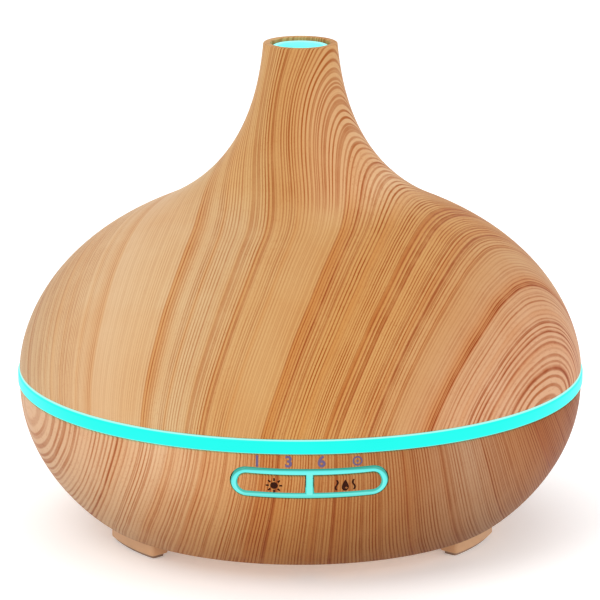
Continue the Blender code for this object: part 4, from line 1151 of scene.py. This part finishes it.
def lamp_icon(middle):
    """A small sun: a disc with eight rays, for the light's button."""
    x, y = middle
    shapes = [ink(circle(1.05, middle, 32))]
    for i in range(8):
        turn = Matrix.Translation((x * MM, y * MM, 0)) @ Matrix.Rotation(math.pi * i / 4, 4, "Z")
        ray = ink([(1.45, -0.28), (2.3, -0.2), (2.3, 0.2), (1.45, 0.28)])
        ray.transform(turn)
        shapes.append(ray)
    return shapes


def mist_icon(middle):
    """A drop between two rising curls, for the mist's button."""
    x, y = middle
    drop = []
    for i in range(40):
        angle = 2 * math.pi * i / 40
        drop.append((x + 1.25 * math.sin(angle) * math.sin(angle / 2), y - 0.1 + 1.75 * math.cos(angle)))
    shapes = [ink(drop, [circle(0.34, (x + 0.3, y - 0.95), 20)])]
    for side in (-1, 1):
        rise = [k / 14 for k in range(15)]
        spine = [(x + side * (2.4 + 0.32 * math.sin(2 * math.pi * t)), y - 1.6 + 3.2 * t) for t in rise]
        curl = [(a - 0.27, b) for a, b in spine] + [(a + 0.27, b) for a, b in reversed(spine)]
        shapes.append(ink(curl))
    return shapes


def make_marks():
    """Numerals for the timer's hours, a ring for continuous use, and an icon on each button."""
    outline = bowl_outline(160)
    marks = [numeral(text, 4.6, (x, 0.0)) for text, x in zip("136", TIMER_MARKS)]
    marks.append(ink(circle(1.4, (TIMER_MARKS[3], 0.0), 40), [circle(0.96, (TIMER_MARKS[3], 0.0), 40)]))
    marks.append(ink(circle(0.36, (TIMER_MARKS[3], 0.0), 20)))
    timer = joined("timer_marks", marks)
    for vertex in timer.vertices:
        x, y, thick = vertex.co / MM
        height = MARK_HEIGHT + y
        radius = bowl_radius(height, outline) + PRINT_LIFT + thick
        vertex.co = Vector((x, -math.sqrt(radius * radius - x * x), height)) * MM
    piece("timer_marks", timer, [MATERIALS["marks"]], body="base")

    for name, shapes, body in (("light_icon", lamp_icon((-9.9, -0.2)), "light_button"),
                               ("mist_icon", mist_icon((9.9, -0.2)), "mist_button")):
        icon = joined(name, shapes)
        for vertex in icon.vertices:
            x, y, thick = vertex.co / MM
            vertex.co = on_bowl(x, y, CAP_HEIGHT + PRINT_LIFT + thick, outline) * MM
        piece(name, icon, [MATERIALS["print"]], body=body)


# --- Tank -------------------------------------------------------------------------------------------
def make_tank():
    floor_top = TANK_FLOOR + TANK_WALL
    inner_radius = TANK_RADIUS - TANK_WALL
    flare_outside = bezier((SPIGOT_RADIUS, FLANGE_BOTTOM), (70.0, FLANGE_BOTTOM), (TANK_RADIUS, 43.0),
                           (TANK_RADIUS, 38.0), 14)
    flare_inside = bezier((inner_radius, 38.5), (inner_radius, 44.5), (69.0, FLANGE_TOP),
                          (SPIGOT_RADIUS - TANK_WALL, FLANGE_TOP), 14)
    corner_outside = bezier((TANK_RADIUS, 27.5), (TANK_RADIUS, 24.5), (64.0, TANK_FLOOR),
                            (61.0, TANK_FLOOR), 8)
    corner_inside = bezier((59.5, floor_top), (62.2, floor_top), (inner_radius, 26.4),
                           (inner_radius, 29.0), 8)
    corners = [
        (SPIGOT_RADIUS - TANK_WALL, TANK_RIM, 0.5), (SPIGOT_RADIUS, TANK_RIM, 0.5),
        (SPIGOT_RADIUS, FLANGE_TOP), (FLANGE_RADIUS, FLANGE_TOP, 0.3),
        (FLANGE_RADIUS, FLANGE_BOTTOM, 0.3), *flare_outside, *corner_outside,
        (8.0, TANK_FLOOR, 0.3), (8.0, floor_top, 0.6), *corner_inside, *flare_inside,
    ]
    mesh = lathe("tank", filleted(corners), 192)
    mesh = carve(mesh, [plate("tower_hole", tower_slot(GAP), TANK_FLOOR - 3.0, TANK_FLOOR + 6.0)])
    piece("tank", mesh, [MATERIALS["milky"]], "water_tank")


def tower_slot(growth):
    """The air tower's outline, grown by this much all round."""
    return stadium(TOWER_LENGTH + 2 * growth, TOWER_WIDTH + 2 * growth, (0.0, FAN_Y))


def make_tower():
    """The air tower with its welded foot, and the hood plugged into it."""
    seat = TANK_FLOOR + TANK_WALL + GAP
    mesh = plate("tower", tower_slot(0.0), TANK_FLOOR, TOWER_TOP, bevel=0.4)
    mesh = carve(mesh, [plate("foot", tower_slot(TOWER_FLANGE), seat, seat + 1.4, bevel=0.3)], "UNION")
    mesh = carve(mesh, [plate("bore", tower_slot(-TOWER_WALL), TANK_FLOOR - 3.0, TOWER_TOP + 3.0)])
    piece("tower", mesh, [MATERIALS["milky"]], "air_tower")

    hood = stadium(HOOD_LENGTH, HOOD_WIDTH, (0.0, FAN_Y))
    cap = plate("tower_cap", hood, HOOD_BOTTOM, HOOD_TOP, bevel=0.5)
    legs = []
    for side in (-1, 1):
        # A leg down into the tower, and the step that stops it on the tower's rim.
        for near, far, half, low, high in ((11.7, 13.5, 4.0, 46.0, 58.2), (12.6, 16.6, 3.0, 52.3, 53.5)):
            xs = sorted((side * near, side * far))
            legs.append(box_mesh("leg", (xs[0], FAN_Y - half, low), (xs[1], FAN_Y + half, high)))
    piece("tower_cap", carve(cap, legs, "UNION"), [MATERIALS["milky"]], "air_outlet_cap")


# --- Kept CAD nodes ---------------------------------------------------------------------------------
KEPT = {
    "black": ("fan_frame", "fan_rotor", "light_switch", "mist_switch", "light_switch_plunger",
              "mist_switch_plunger", "driver_transistor", "controller_chip", "dc_jack"),
    "can": ("capacitor_1", "capacitor_2"),
    "steel": ("transducer_clamp",),
    "screw": tuple(node for node in BODY_OF if "_screw_" in node),
    "brass": ("dc_jack_pin",),
    "coil": ("inductor",),
    "aluminium": ("heat_sink",),
    "ceramic": ("piezo_disc",),
    "rubber": ("transducer_gasket",),
    "foam": ("fan_gasket",),
    "board": ("button_board", "main_board"),
    "white_board": ("led_board",),
    "milky": ("timer_light_guide",),
    "red": ("power_lead",),
    "yellow": ("fan_lead",),
    "grey": ("button_lead", "transducer_lead"),
    "blue": ("led_lead",),
}


def finish_kept_nodes():
    for material, nodes in KEPT.items():
        for node in nodes:
            obj = frame["nodes"][node]
            for one in obj.material_slots:
                one.material = MATERIALS[material]
            soften(obj, 0.12)


# --- Stage ------------------------------------------------------------------------------------------
def area_light(name, place, target, size, power, colour=(1.0, 1.0, 1.0)):
    light = bpy.data.lights.new(name, "AREA")
    light.shape = "DISK"
    light.size = size
    light.energy = power
    light.color = colour
    obj = in_scene(name, light)
    obj.location = place
    obj.rotation_euler = (Vector(target) - Vector(place)).to_track_quat("-Z", "Y").to_euler()


def make_stage():
    def build(bm):
        bmesh.ops.create_grid(bm, x_segments=2, y_segments=2, size=6000.0)

    floor = in_scene("floor", new_mesh("floor", build))
    shader = Shader("floor", roughness=0.9)
    shader.colour((0.98, 0.98, 0.98))
    shader.glow((1.0, 1.0, 1.0), 0.25)
    floor.data.materials.append(shader.material)

    world = bpy.data.worlds.new("studio")
    bpy.context.scene.world = world
    world.use_nodes = True
    world.node_tree.nodes["Background"].inputs["Color"].default_value = (1.0, 1.0, 1.0, 1.0)
    world.node_tree.nodes["Background"].inputs["Strength"].default_value = 0.90
    area_light("key", (-0.9, -1.0, 1.5), (0.0, 0.0, 0.06), 1.2, 8.5)
    area_light("fill", (1.1, -1.1, 0.7), (0.0, 0.0, 0.06), 1.2, 3.0)
    area_light("top", (0.1, 0.4, 1.8), (0.0, 0.0, 0.06), 1.4, 3.5)
    bpy.context.scene.view_settings.view_transform = "Standard"


def make_camera():
    """The photograph's view: from 1.19 m in front, a little to the left, looking down 14 degrees."""
    distance, height, down, turn = 1.19, 0.36634, math.radians(14.081), math.radians(1.8)
    camera = bpy.data.cameras.new("camera")
    camera.lens = 247.9
    camera.sensor_width = 36.0
    camera.shift_x = -0.00063
    obj = in_scene("camera", camera)
    obj.location = (-distance * math.sin(turn), -distance * math.cos(turn), height)
    obj.rotation_euler = (math.radians(90) - down, 0.0, -turn)
    bpy.context.scene.camera = obj


def main():
    make_camera()
    make_stage()
    make_materials()
    make_cover()
    make_liner()
    make_ring()
    make_base()
    make_bottom()
    make_buttons()
    make_marks()
    make_tank()
    make_tower()
    finish_kept_nodes()


main()
